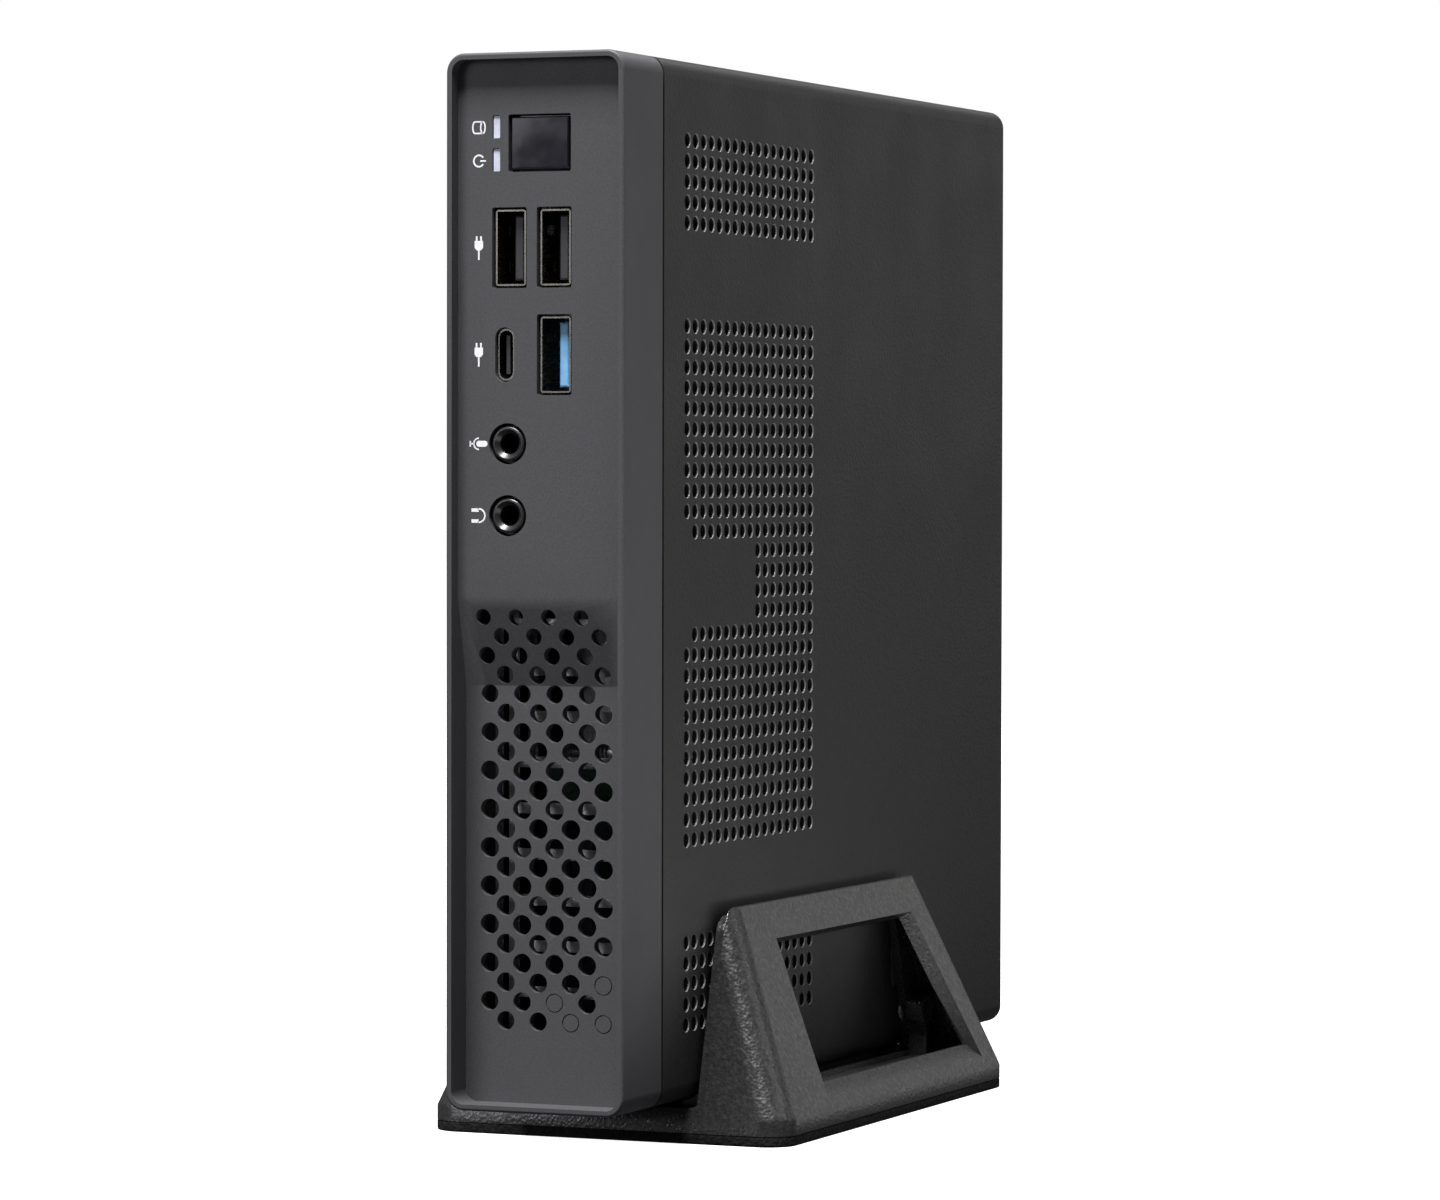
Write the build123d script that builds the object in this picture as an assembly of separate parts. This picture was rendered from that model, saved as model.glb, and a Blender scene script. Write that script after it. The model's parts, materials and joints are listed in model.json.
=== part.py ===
from build123d import *
import math
import os

# Slim desktop computer that stands upright in a plastic stand with two wings.
# Millimetres, +Z up. The front faces -Y and +X is the right side seen from the front.
# The origin is on the table, in the middle of the whole object's footprint.

# ---- the case -------------------------------------------------------------
case_width = 33.6
case_depth = 188.8
case_height = 182.5
case_bottom = 7.6                 # underside of the case above the table
corner_r = 3.3                    # long edges of the case
rear_edge_r = 1.5                 # edges round the back wall
sheet = 1.0                       # steel thickness
body_gap = 0.4                    # clearance between the cover and the tray
thumb_head_length = 4.4           # how far the thumb screw stands out at the back

front_y = -(case_depth + thumb_head_length) / 2
rear_y = front_y + case_depth
case_top = case_bottom + case_height
half_width = case_width / 2

# ---- the front bezel ------------------------------------------------------
bezel_depth = 16.5
seam = 0.7                        # open groove between the bezel and the cover
rim = 1.1                         # thickness of the raised rim
rim_round = 0.5
panel_depth = 2.5                 # upper panel, behind the rim
grille_depth = 6.0                # lower panel, behind the rim
slope_top = 96.5                  # height where the panel starts to slope back
slope_bottom = 81.1
panel_wall = 2.0
bezel_wall = 2.0

panel_y = front_y + panel_depth
panel_back_y = panel_y + panel_wall
grille_y = front_y + grille_depth
cover_front_y = front_y + bezel_depth + seam

# ---- the front grille -----------------------------------------------------
grille_rows = 22
grille_half_columns = 8
grille_x0 = -11.15
grille_z0 = 92.97
grille_column_step = 3.084
grille_row_step = 3.335
grille_r_max = 1.77
grille_widest_row = 13
grille_shrink = 0.0022            # radius lost per squared row away from the widest row
blind_holes = {(7, 19), (4, 20), (5, 21), (7, 21)}
blind_groove = 0.3

# ---- the vents in the cover ----------------------------------------------
vent_pitch = 3.6
vent_r = 1.35
vent_y0 = front_y + 27.45
vent_z0 = 176.0
vent_columns = 17
# first row, last row, first column of each block
vent_blocks = [(0, 4, 0), (9, 18, 0), (19, 19, 1), (20, 23, 9), (24, 24, 1), (25, 34, 0), (39, 43, 0)]

# ---- front controls and ports: centres on the panel (x, z) ----------------
led_x = -8.4
led_z = (177.45, 171.75)
led_slot = (1.43, 4.1)
button_centre = (-0.2, 174.6)
button_opening = (11.8, 9.9)
button_face = (10.9, 9.0)
button_travel = 0.8
usb2_centres = [(-5.9, 156.65), (2.56, 156.65)]
usb3_centre = (2.6, 138.2)
usb_opening = (6.55, 13.9)
usb_shell = (5.7, 13.1, 14.0)
usb_contact_offsets = (-3.5, -1.0, 1.0, 3.5)
usbc_centre = (-6.77, 138.25)
usbc_opening = (3.6, 9.4)
usbc_shell = (3.16, 8.94, 7.3)
jack_x = -6.2
jack_z = {"microphone_jack": 122.9, "headphone_jack": 110.5}
jack_opening_r = 3.55
jack_ring_r = 3.05
jack_bore_r = 1.8
jack_spring_z = 2.15              # contact leaves above and below the bore's axis
port_set_back = 0.65              # port faces behind the panel's face
port_front_y = panel_y + port_set_back

# ---- boards ---------------------------------------------------------------
board_back_x = -10.9
board_thickness = 1.6
board_x = board_back_x + board_thickness
tray_inner_x = -half_width + sheet
main_board_y = (front_y + 25.5, rear_y - 4.5)
main_board_z = (14.5, 183.5)

# ---- the stand ------------------------------------------------------------
stand_half_width = 34.7
stand_front_y = front_y + 29.7
stand_rear_y = front_y + 141.5
pad_top = 1.9                     # foam pad under the whole stand
skirt_top = 4.4                   # upright edge above the pad
base_top = 6.3                    # floor of the cradle and of the wings
wing_top = 40.8
wing_top_x = 20.2                 # outer edge of the wing's ridge
wing_lean = 0.28                  # front and rear walls lean in, mm per mm of height
wing_wall = 2.3
wing_front_r = (5.5, 4.5)         # rounding of the front edge, at the skirt and at the ridge
wing_rear_r = (4.0, 3.0)
ridge_front_r = 4.3               # rounding of the ridge's ends, seen from the side
ridge_rear_r = 1.5
cradle_half_width = 19.0
cradle_wall = 1.4
cradle_top = 39.4
window_low = 6.6
window_high = 34.6
window_low_y = (front_y + 52.0, front_y + 130.9)
window_high_y = (front_y + 54.6, front_y + 121.9)
bevel_depth = 2.5
bevel_side = 2.2
bevel_top = 1.6
bevel_bottom = 2.4


# ---- helpers --------------------------------------------------------------
def block(x0, x1, y0, y1, z0, z1):
    """Box between two corners."""
    return Pos((x0 + x1) / 2, (y0 + y1) / 2, (z0 + z1) / 2) * Box(x1 - x0, y1 - y0, z1 - z0)


def rod_y(x, z, r, y0, y1):
    """Round bar along Y."""
    return Pos(x, (y0 + y1) / 2, z) * Rot(90, 0, 0) * Cylinder(r, y1 - y0)


def rod_x(y, z, r, x0, x1):
    """Round bar along X."""
    return Pos((x0 + x1) / 2, y, z) * Rot(0, 90, 0) * Cylinder(r, x1 - x0)


def cone_x(y, z, r0, r1, x0, x1):
    """Cone along X, with radius r0 at x0 and r1 at x1."""
    return Pos((x0 + x1) / 2, y, z) * Rot(0, 90, 0) * Cone(r0, r1, x1 - x0)


def tube_y(x, z, r_out, r_in, y0, y1):
    """Tube along Y."""
    return rod_y(x, z, r_out, y0, y1) - rod_y(x, z, r_in, y0 - 1, y1 + 1)


def tube_x(y, z, r_out, r_in, x0, x1):
    """Tube along X."""
    return rod_x(y, z, r_out, x0, x1) - rod_x(y, z, r_in, x0 - 1, x1 + 1)


def hex_x(y, z, across, x0, x1):
    """Hexagonal bar along X."""
    plane = Plane(origin=(x0, y, z), x_dir=(0, 1, 0), z_dir=(1, 0, 0))
    return extrude(plane * RegularPolygon(across / math.sqrt(3), 6), amount=x1 - x0)


def rounded_bar_y(x0, x1, z0, z1, r, y0, y1):
    """Bar along Y with a rounded rectangular section."""
    plane = Plane(origin=((x0 + x1) / 2, y1, (z0 + z1) / 2), x_dir=(1, 0, 0), z_dir=(0, -1, 0))
    return extrude(plane * RectangleRounded(x1 - x0, z1 - z0, r), amount=y1 - y0)


def rounded_plate_x(y0, y1, z0, z1, r, x0, x1):
    """Plate across X with rounded corners."""
    plane = Plane(origin=(x0, (y0 + y1) / 2, (z0 + z1) / 2), x_dir=(0, 1, 0), z_dir=(1, 0, 0))
    return extrude(plane * RectangleRounded(y1 - y0, z1 - z0, r), amount=x1 - x0)


def side_profile(points, x0, x1):
    """Prism along X from an outline of (y, z) points."""
    face = make_face(Polyline([(x0, y, z) for y, z in points], close=True))
    return extrude(face, amount=x1 - x0, dir=(1, 0, 0))


def inset_case_bar(inset, y0, y1):
    """Bar along Y with the case's section, smaller by inset all round."""
    return rounded_bar_y(-half_width + inset, half_width - inset, case_bottom + inset, case_top - inset,
                         max(corner_r - inset, 0.8), y0, y1)


# ---- steel shell of the case ---------------------------------------------
def case_block(inset, y0):
    """Solid body of the case with rounded long edges and a rounded back end."""
    body = block(-half_width + inset, half_width - inset, y0, rear_y - inset,
                 case_bottom + inset, case_top - inset)
    body = fillet(body.edges().filter_by(Axis.Y), corner_r - inset)
    return fillet(body.faces().sort_by(Axis.Y)[-1].edges(), rear_edge_r - inset)


def steel_shell():
    """Sheet steel box, open at the front, that the cover and the tray are cut from."""
    return case_block(0, cover_front_y) - case_block(sheet, cover_front_y - 1)


tray_edge_x = -9.0                # the tray's top and bottom strips end here
cover_edge_x = tray_edge_x + body_gap
rear_split_x = 7.6                # right edge of the tray's back wall
thumb_screw_xz = (10.2, 168.0)
thumb_screw_r = 1.45
thumb_hole_r = 1.65
thumb_head_r = 3.4


def vent_holes():
    """Round vent holes through the right wall of the cover."""
    holes = []
    for first_row, last_row, first_column in vent_blocks:
        for row in range(first_row, last_row + 1):
            for column in range(first_column, vent_columns):
                y = vent_y0 + column * vent_pitch
                z = vent_z0 - row * vent_pitch
                holes.append(rod_x(y, z, vent_r, half_width - sheet - 1, half_width + 1))
    return holes


def side_cover(shell):
    """Right wall, top and bottom of the case, with a folded edge at the back."""
    keep = block(cover_edge_x, half_width + 1, cover_front_y - 1, rear_y + 1, 0, case_top + 1)
    opening = block(cover_edge_x - 1, rear_split_x + body_gap, rear_y - corner_r - 0.2, rear_y + 1,
                    case_bottom + sheet, case_top - sheet)
    screw_x, screw_z = thumb_screw_xz
    screw_hole = rod_y(screw_x, screw_z, thumb_hole_r, rear_y - 2, rear_y + 1)
    return (shell & keep) - opening - screw_hole - vent_holes()


rear_ports = {
    "dc_jack": dict(z=171.0, size=(9.0, 11.0), depth=14.0, x0=board_x),
    "wide_video_port": dict(z=153.0, size=(15.0, 5.6), depth=12.0, x0=board_x),
    "notched_video_port": dict(z=132.0, size=(17.0, 5.6), depth=12.0, x0=board_x),
    "lan_port": dict(z=110.0, size=(16.0, 13.4), depth=18.0, x0=board_x),
    "rear_usb_low": dict(z=89.0, size=(13.1, 15.2), depth=17.5, x0=board_x),
    "rear_usb_high": dict(z=70.0, size=(13.1, 15.2), depth=17.5, x0=board_x),
}
rear_port_clearance = 0.3
vesa_pitch = 75.0
vesa_r = 2.0
vesa_centre = (rear_y - 78.0, (case_bottom + case_top) / 2)
lock_slot = (3.2, 7.2)            # security slot at the back
lock_slot_xz = (1.0, 26.0)

board_screw_yz = [(main_board_y[0] + 4.5, main_board_z[0] + 5), (main_board_y[1] - 22, main_board_z[0] + 5),
                  (main_board_y[0] + 4.5, main_board_z[1] - 5), (main_board_y[1] - 22, main_board_z[1] - 5),
                  (8.0, 99.0)]
standoff_across = 5.0
m3_r = 1.5
m3_clear_r = 1.65


def chassis_tray(shell):
    """Left wall with the back wall, the lips under the cover and the threaded VESA holes."""
    tray = shell & block(-half_width - 1, tray_edge_x, cover_front_y - 1, rear_y + 1, 0, case_top + 1)
    low_lip = case_bottom + sheet + body_gap
    high_lip = case_top - sheet - body_gap
    tray += block(tray_edge_x - 0.5, rear_split_x, rear_y - sheet, rear_y, low_lip, high_lip)
    lip_x = (tray_edge_x - sheet, tray_edge_x + 7.2)
    lip_y = (cover_front_y + 1.5, rear_y - sheet)
    tray += block(*lip_x, *lip_y, low_lip, low_lip + sheet)
    tray += block(lip_x[0], tray_edge_x, *lip_y, case_bottom + sheet / 2, low_lip + sheet)
    tray += block(*lip_x, *lip_y, high_lip - sheet, high_lip)
    tray += block(lip_x[0], tray_edge_x, *lip_y, high_lip - sheet, case_top - sheet / 2)
    step_y = rear_y - 2 * sheet - body_gap
    tray += block(rear_split_x - sheet, rear_split_x, step_y, rear_y - sheet / 2, low_lip + 8, high_lip - 8)
    tray += block(rear_split_x - sheet, half_width - 2.2, step_y, step_y + sheet, low_lip + 8, high_lip - 8)
    screw_x, screw_z = thumb_screw_xz
    tray -= rod_y(screw_x, screw_z, thumb_screw_r + 0.1, step_y - 1, step_y + 2)
    for port in rear_ports.values():
        width, height = port["size"]
        tray -= block(port["x0"] - rear_port_clearance, port["x0"] + height + rear_port_clearance,
                      rear_y - 2 * sheet, rear_y + 1,
                      port["z"] - width / 2 - rear_port_clearance, port["z"] + width / 2 + rear_port_clearance)
    slot_w, slot_h = lock_slot
    slot_x, slot_z = lock_slot_xz
    tray -= rounded_bar_y(slot_x - slot_w / 2, slot_x + slot_w / 2, slot_z - slot_h / 2, slot_z + slot_h / 2,
                          1.0, rear_y - 2, rear_y + 1)
    for dy in (-1, 1):
        for dz in (-1, 1):
            y = vesa_centre[0] + dy * vesa_pitch / 2
            z = vesa_centre[1] + dz * vesa_pitch / 2
            tray += rod_x(y, z, vesa_r + 1.2, tray_inner_x - 0.1, tray_inner_x + 1.5)
            tray -= rod_x(y, z, vesa_r, -half_width - 1, tray_inner_x + 3)
    return tray


def thumb_screw():
    """Knurled captive screw that locks the cover to the tray."""
    x, z = thumb_screw_xz
    head = rod_y(x, z, thumb_head_r, rear_y, rear_y + thumb_head_length)
    head = chamfer(head.edges().group_by(Axis.Y)[-1], 0.4)
    grooves = []
    teeth = 24
    for i in range(teeth):
        angle = 2 * math.pi * i / teeth
        grooves.append(rod_y(x + thumb_head_r * math.cos(angle), z + thumb_head_r * math.sin(angle), 0.28,
                             rear_y + 1.0, rear_y + thumb_head_length + 1))
    head -= grooves
    slot = block(x - 2.6, x + 2.6, rear_y + thumb_head_length - 1.2, rear_y + thumb_head_length + 1,
                 z - 0.45, z + 0.45)
    return head - slot + rod_y(x, z, thumb_screw_r, rear_y - 7.0, rear_y + 0.5)


# ---- bezel ----------------------------------------------------------------
def panel_outline(offset, back_y):
    """Side outline (y, z) of the space in front of the stepped panel, moved back by offset."""
    low = case_bottom - 1
    high = case_top + 1
    return [(back_y, low), (back_y, high), (panel_y + offset, high), (panel_y + offset, slope_top),
            (grille_y + offset, slope_bottom), (grille_y + offset, low)]


def grille_holes():
    """(column, row, x, z, radius) of every grille hole, in staggered rows."""
    holes = []
    for row in range(grille_rows):
        radius = grille_r_max - grille_shrink * (row - grille_widest_row) ** 2
        for column in range(row % 2, grille_half_columns, 2):
            x = grille_x0 + grille_column_step * column
            z = grille_z0 - grille_row_step * row
            holes.append((column, row, x, z, radius))
    return holes


def front_bezel():
    """Moulded front with a raised rim, a stepped panel, the grille and the port openings."""
    bezel = inset_case_bar(0, front_y, front_y + bezel_depth)
    bezel = fillet(bezel.faces().sort_by(Axis.Y)[0].edges(), rim_round)
    recess = inset_case_bar(rim, front_y - 1, grille_y + 1)
    recess &= side_profile(panel_outline(0, front_y - 2), -half_width, half_width)
    cavity = inset_case_bar(bezel_wall, panel_back_y - 1, front_y + bezel_depth + 1)
    cavity &= side_profile(panel_outline(panel_wall, front_y + bezel_depth + 2), -half_width, half_width)
    bezel = bezel - recess - cavity
    cuts = []
    grooves = []
    for column, row, x, z, radius in grille_holes():
        if (column, row) in blind_holes:
            grooves.append(tube_y(x, z, radius, radius - 0.2, grille_y - 1, grille_y + blind_groove))
        else:
            cuts.append(rod_y(x, z, radius, panel_y - 1, grille_y + panel_wall + 1))
    y0 = panel_y - 1
    y1 = panel_back_y + 1
    for z in led_z:
        cuts.append(opening_y(led_x, z, led_slot, y0, y1))
    cuts.append(opening_y(*button_centre, button_opening, y0, y1))
    for x, z in usb2_centres + [usb3_centre]:
        cuts.append(opening_y(x, z, usb_opening, y0, y1))
    cuts.append(rounded_bar_y(usbc_centre[0] - usbc_opening[0] / 2, usbc_centre[0] + usbc_opening[0] / 2,
                              usbc_centre[1] - usbc_opening[1] / 2, usbc_centre[1] + usbc_opening[1] / 2,
                              usbc_opening[0] / 2 - 0.01, y0, y1))
    for z in jack_z.values():
        cuts.append(rod_y(jack_x, z, jack_opening_r, y0, y1))
    bezel = bezel - cuts - grooves
    for z in (case_top - bezel_wall - 1.6, case_bottom + bezel_wall + 0.4):
        bezel += bezel_tongue(z)
    for dx in switch_post_offsets:
        bezel += switch_post(button_centre[0] + dx)
    return bezel


def opening_y(x, z, size, y0, y1):
    """Rectangular bar along Y for an opening with slightly rounded corners."""
    width, height = size
    return rounded_bar_y(x - width / 2, x + width / 2, z - height / 2, z + height / 2, 0.35, y0, y1)


tongue_x = (tray_edge_x + 3.2, tray_edge_x + 7.0)


def bezel_tongue(z):
    """Snap tongue that reaches back over the tray's lip."""
    root_y = (front_y + bezel_depth - 8, front_y + bezel_depth - 4)
    root_z = (z, case_top - 1.0) if z > slope_top else (case_bottom + 1.0, z + 1.2)
    tongue = block(*tongue_x, root_y[0], cover_front_y + 5.0, z, z + 1.2)
    return tongue + block(*tongue_x, *root_y, *root_z)


switch_board_y = panel_back_y + 6.2
switch_board_z = (button_centre[1] - 9.0, button_centre[1] + 8.0)
switch_post_z = button_centre[1] - 7.5
switch_post_offsets = (-6.4, 6.0)


def switch_post(x):
    """Post behind the panel that the switch board is fixed to."""
    return rod_y(x, switch_post_z, 1.2, panel_back_y - 0.2, switch_board_y)


# ---- power button and status lights --------------------------------------
def power_button():
    """Rectangular cap with a retaining flange and a stem."""
    x, z = button_centre
    width, height = button_face
    cap = block(x - width / 2, x + width / 2, panel_y + 0.1, panel_back_y + 0.6, z - height / 2, z + height / 2)
    cap = fillet(cap.edges().filter_by(Axis.Y), 0.3)
    cap = chamfer(cap.faces().sort_by(Axis.Y)[0].edges(), 0.25)
    flange = block(x - width / 2 - 1.0, x + width / 2 + 1.0, panel_back_y + 0.35, panel_back_y + 1.35,
                   z - height / 2 - 1.0, z + height / 2 + 1.0)
    return cap + flange + rod_y(x, z, 1.5, panel_back_y + 1.0, panel_back_y + 2.6)


def switch_board():
    """Small board behind the button."""
    x = button_centre[0]
    board = block(x - 8.5, x + 8.5, switch_board_y, switch_board_y + 1.2, *switch_board_z)
    return board - [rod_y(x + dx, switch_post_z, 0.6, switch_board_y - 1, switch_board_y + 2)
                    for dx in switch_post_offsets]


def tact_switch():
    """Push switch on the switch board, just behind the stem."""
    x, z = button_centre
    body = block(x - 3, x + 3, switch_board_y - 1.9, switch_board_y, z - 3, z + 3)
    return body + rod_y(x, z, 1.7, panel_back_y + 2.6 + button_travel + 0.1, switch_board_y - 1.0)


def led_lens(z):
    """Light pipe from the panel to the switch board."""
    width, height = led_slot
    return block(led_x - width / 2 + 0.12, led_x + width / 2 - 0.12, panel_y + 0.25, switch_board_y - 1.2,
                 z - height / 2 + 0.12, z + height / 2 - 0.12)


def status_leds():
    """Two surface-mount LEDs behind the light pipes."""
    return [block(led_x - 0.4, led_x + 1.2, switch_board_y - 1.0, switch_board_y, z - 1.6, z + 1.6)
            for z in led_z]


# ---- front ports ----------------------------------------------------------
def usb_a_shell(x, z, y0, depth=usb_shell[2]):
    """Folded steel shell of a type A socket; the long side is upright."""
    width, height, _ = usb_shell
    wall = 0.3
    outer = block(x - width / 2, x + width / 2, y0, y0 + depth, z - height / 2, z + height / 2)
    outer = fillet(outer.edges().filter_by(Axis.Y), 0.5)
    hollow = block(x - width / 2 + wall, x + width / 2 - wall, y0 - 1, y0 + depth - wall,
                   z - height / 2 + wall, z + height / 2 - wall)
    shell = outer - hollow
    for dz in (-3.1, 3.1):
        shell -= block(x - width / 2 - 1, x - width / 2 + 1, y0 + 2.0, y0 + 5.2, z + dz - 0.9, z + dz + 0.9)
    return shell


def usb_a_tongue(x, z, y0, depth=usb_shell[2]):
    """Moulded tongue and rear block inside a type A socket; the tongue is on the right."""
    width, height, _ = usb_shell
    side = x + width / 2 - 0.85
    tongue = block(side - 1.84, side, y0 + 1.2, y0 + depth - 0.5, z - 5.55, z + 5.55)
    tongue = chamfer(tongue.faces().sort_by(Axis.Y)[0].edges(), 0.3)
    rear = block(x - width / 2 + 0.4, x + width / 2 - 0.4, y0 + depth - 5.0, y0 + depth - 0.4,
                 z - height / 2 + 0.4, z + height / 2 - 0.4)
    return tongue + rear


def usb_a_contacts(x, z, y0, depth=usb_shell[2]):
    """Contact springs on the left face of the tongue, each a strip with a raised hump."""
    side = x + usb_shell[0] / 2 - 0.85 - 1.84
    strips = []
    for dz in usb_contact_offsets:
        strip = block(side - 0.22, side - 0.02, y0 + 2.2, y0 + depth - 5.05, z + dz - 0.5, z + dz + 0.5)
        hump = block(side - 0.75, side - 0.1, y0 + 3.6, y0 + 5.4, z + dz - 0.4, z + dz + 0.4)
        strips.append(strip + chamfer(hump.edges().filter_by(Axis.Z).sort_by(Axis.X)[:2], 0.5))
    return strips


def usb_c_shell():
    """Oval steel shell of the type C socket."""
    x, z = usbc_centre
    width, height, depth = usbc_shell
    outer = rounded_bar_y(x - width / 2, x + width / 2, z - height / 2, z + height / 2, width / 2 - 0.01,
                          port_front_y, port_front_y + depth)
    hollow = rounded_bar_y(x - width / 2 + 0.3, x + width / 2 - 0.3, z - height / 2 + 0.3, z + height / 2 - 0.3,
                           width / 2 - 0.31, port_front_y - 1, port_front_y + depth - 0.3)
    return outer - hollow


def usb_c_tongue():
    """Thin tongue in the middle of the type C socket, with its thicker root."""
    x, z = usbc_centre
    depth = usbc_shell[2]
    blade = block(x - 0.35, x + 0.35, port_front_y + 0.9, port_front_y + depth - 0.4, z - 3.3, z + 3.3)
    root = block(x - 1.1, x + 1.1, port_front_y + depth - 2.2, port_front_y + depth - 0.4, z - 3.6, z + 3.6)
    return blade + root


def usb_c_foot():
    """Steel bracket that carries the type C socket on the board."""
    x, z = usbc_centre
    width, height, depth = usbc_shell
    left = x - width / 2
    return block(board_x, left, port_front_y + 1.5, port_front_y + depth, z - height / 2 + 1.2, z + height / 2 - 1.2)


def audio_jack(z):
    """3.5 mm socket: body on the board, collar in the bezel's hole, stepped bore."""
    body = block(board_x, jack_x + 3.1, panel_back_y + 0.3, panel_back_y + 11.8, z - 3.2, z + 3.2)
    collar = rod_y(jack_x, z, jack_ring_r, panel_y + 0.1, panel_back_y + 1)
    collar = fillet(collar.edges().group_by(Axis.Y)[0], 0.45)
    jack = body + collar
    jack -= rod_y(jack_x, z, jack_bore_r, panel_y - 1, panel_back_y + 10.5)
    for dz in (-1, 1):
        jack -= block(jack_x - 0.85, jack_x + 0.85, panel_back_y + 2.9, panel_back_y + 9.6,
                      z + min(dz * 1.5, dz * 2.4), z + max(dz * 1.5, dz * 2.4))
    countersink = Pos(jack_x, panel_y + 0.45, z) * Rot(90, 0, 0) * Cone(jack_bore_r, jack_bore_r + 0.75, 0.75)
    return jack - countersink


def jack_springs():
    """Two contact leaves in the back of each audio jack."""
    leaves = []
    for z in jack_z.values():
        for dz in (-1, 1):
            leaves.append(block(jack_x - 0.8, jack_x + 0.8, panel_back_y + 3.0, panel_back_y + 9.6,
                                z + dz * jack_spring_z - 0.12, z + dz * jack_spring_z + 0.12))
    return leaves


front_board_y = (panel_back_y + 0.6, front_y + 24.6)
front_board_z = (104.0, 166.0)
front_board_screws = [(front_board_y[1] - 3.2, z) for z in (front_board_z[0] + 27.5, front_board_z[1] - 3.2)]
ribbon_z = (139.0, 157.0)


def front_io_board():
    """Board that carries the front ports."""
    board = block(board_back_x, board_x, *front_board_y, *front_board_z)
    return board - [rod_x(y, z, m3_clear_r, board_back_x - 1, board_x + 1) for y, z in front_board_screws]


def front_io_bracket():
    """Steel bracket from the tray's wall into the bezel, under the front board."""
    y0 = front_y + 9.0
    plate = block(tray_inner_x, tray_inner_x + 1.0, y0 + 9, cover_front_y + 12, front_board_z[0], front_board_z[1])
    for y, z in front_board_screws:
        plate += rod_x(y, z, 2.6, tray_inner_x + 0.5, board_back_x)
        plate -= rod_x(y, z, 1.46, tray_inner_x + 1.0, board_back_x + 1)
    return plate


def front_link_ribbon():
    """Short flat cable that arches from the front board to the main board, with its two sockets."""
    y0 = front_board_y[1] - 3.0
    y1 = main_board_y[0] + 3.0
    sockets = [block(board_x, board_x + 1.6, y - 1.5, y + 1.5, *ribbon_z) for y in (y0, y1)]
    plane = Plane(origin=(0, 0, ribbon_z[0] + 1), x_dir=(1, 0, 0), z_dir=(0, 0, 1))
    middle = (y0 + y1) / 2
    arch = plane * (Pos(board_x + 1.6, middle) * Circle((y1 - y0) / 2 + 0.15))
    arch -= plane * (Pos(board_x + 1.6, middle) * Circle((y1 - y0) / 2 - 0.15))
    arch &= plane * (Pos(board_x + 1.6 + 10, middle) * Rectangle(20, 20))
    ribbon = extrude(arch, amount=ribbon_z[1] - ribbon_z[0] - 2, dir=(0, 0, 1))
    return [sockets[0] + ribbon + sockets[1]]


def pan_screw_x(y, z, head_x, length, thread_r=1.45, head_r=2.75, head_height=1.9):
    """Pan-head screw along -X with its head's underside at head_x."""
    head = rod_x(y, z, head_r, head_x, head_x + head_height)
    head = fillet(head.edges().group_by(Axis.X)[-1], 0.6)
    cross = block(head_x + 0.9, head_x + head_height + 1, y - 0.35, y + 0.35, z - 1.6, z + 1.6)
    cross += block(head_x + 0.9, head_x + head_height + 1, y - 1.6, y + 1.6, z - 0.35, z + 0.35)
    return head - cross + rod_x(y, z, thread_r, head_x - length, head_x + 0.4)


shield_x = (-12.4, 13.2)
shield_slot_x = (-11.25, -9.8)    # upright slot at the left
shield_window_x = (-8.1, 12.0)
shield_web_z = 75.63              # middle of one of the webs
shield_web_step = 8.0
shield_web = 1.9


def front_shield():
    """Steel screen with wide windows behind the grille, with a foot on the tray's lower lip."""
    y0 = grille_y + panel_wall + 3.0
    low = case_bottom + 2 * sheet + body_gap
    high = slope_top + 2.0
    plate = block(*shield_x, y0, y0 + 0.8, low, high)
    holes = [block(*shield_slot_x, y0 - 1, y0 + 2, low + 2.6, high - 1.0)]
    for n in range(-8, 3):
        z = shield_web_z + n * shield_web_step + shield_web / 2
        holes.append(block(*shield_window_x, y0 - 1, y0 + 2, z, min(z + shield_web_step - shield_web, high - 1.0)))
    notch = block(tongue_x[0] - 0.4, tongue_x[1] + 0.4, y0 - 1, y0 + 2, low - 1, low + 1.8)
    foot = block(tray_edge_x - 0.8, tray_edge_x + 2.4, y0, cover_front_y + 9.0, low, low + 0.8)
    return plate - holes - notch + foot


# ---- main board -----------------------------------------------------------
cooler_centre = (front_y + 58.5, 98.6)
cooler_pitch = 60.0
cooler_size = 66.0
package_top = board_x + 4.5
plate_top = package_top + 2.0
fins_top = plate_top + 7.6
fan_x = (fins_top + 0.3, fins_top + 8.5)
fan_size = 60.0
fan_bore_r = 28.4
rotor_r = 27.6
hub_r = 12.5
shaft_r = 1.0
shaft_clearance = 0.05
fan_thread_r = 1.4


def cooler_screw_yz():
    """Corners of the cooler's screw pattern."""
    y, z = cooler_centre
    half = cooler_pitch / 2
    return [(y + a * half, z + b * half) for a in (-1, 1) for b in (-1, 1)]


def motherboard():
    """Main circuit board with its mounting holes."""
    board = rounded_plate_x(*main_board_y, *main_board_z, 1.5, board_back_x, board_x)
    holes = [rod_x(y, z, m3_clear_r, board_back_x - 1, board_x + 1) for y, z in board_screw_yz]
    holes += [rod_x(y, z, m3_clear_r, board_back_x - 1, board_x + 1) for y, z in cooler_screw_yz()]
    return board - holes


def board_standoffs():
    """Hexagonal brass pillars on the tray."""
    pillars = []
    for y, z in board_screw_yz:
        pillar = hex_x(y, z, standoff_across, tray_inner_x, board_back_x)
        pillars.append(pillar - rod_x(y, z, 1.46, tray_inner_x + 0.8, board_back_x + 1))
    return pillars


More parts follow.
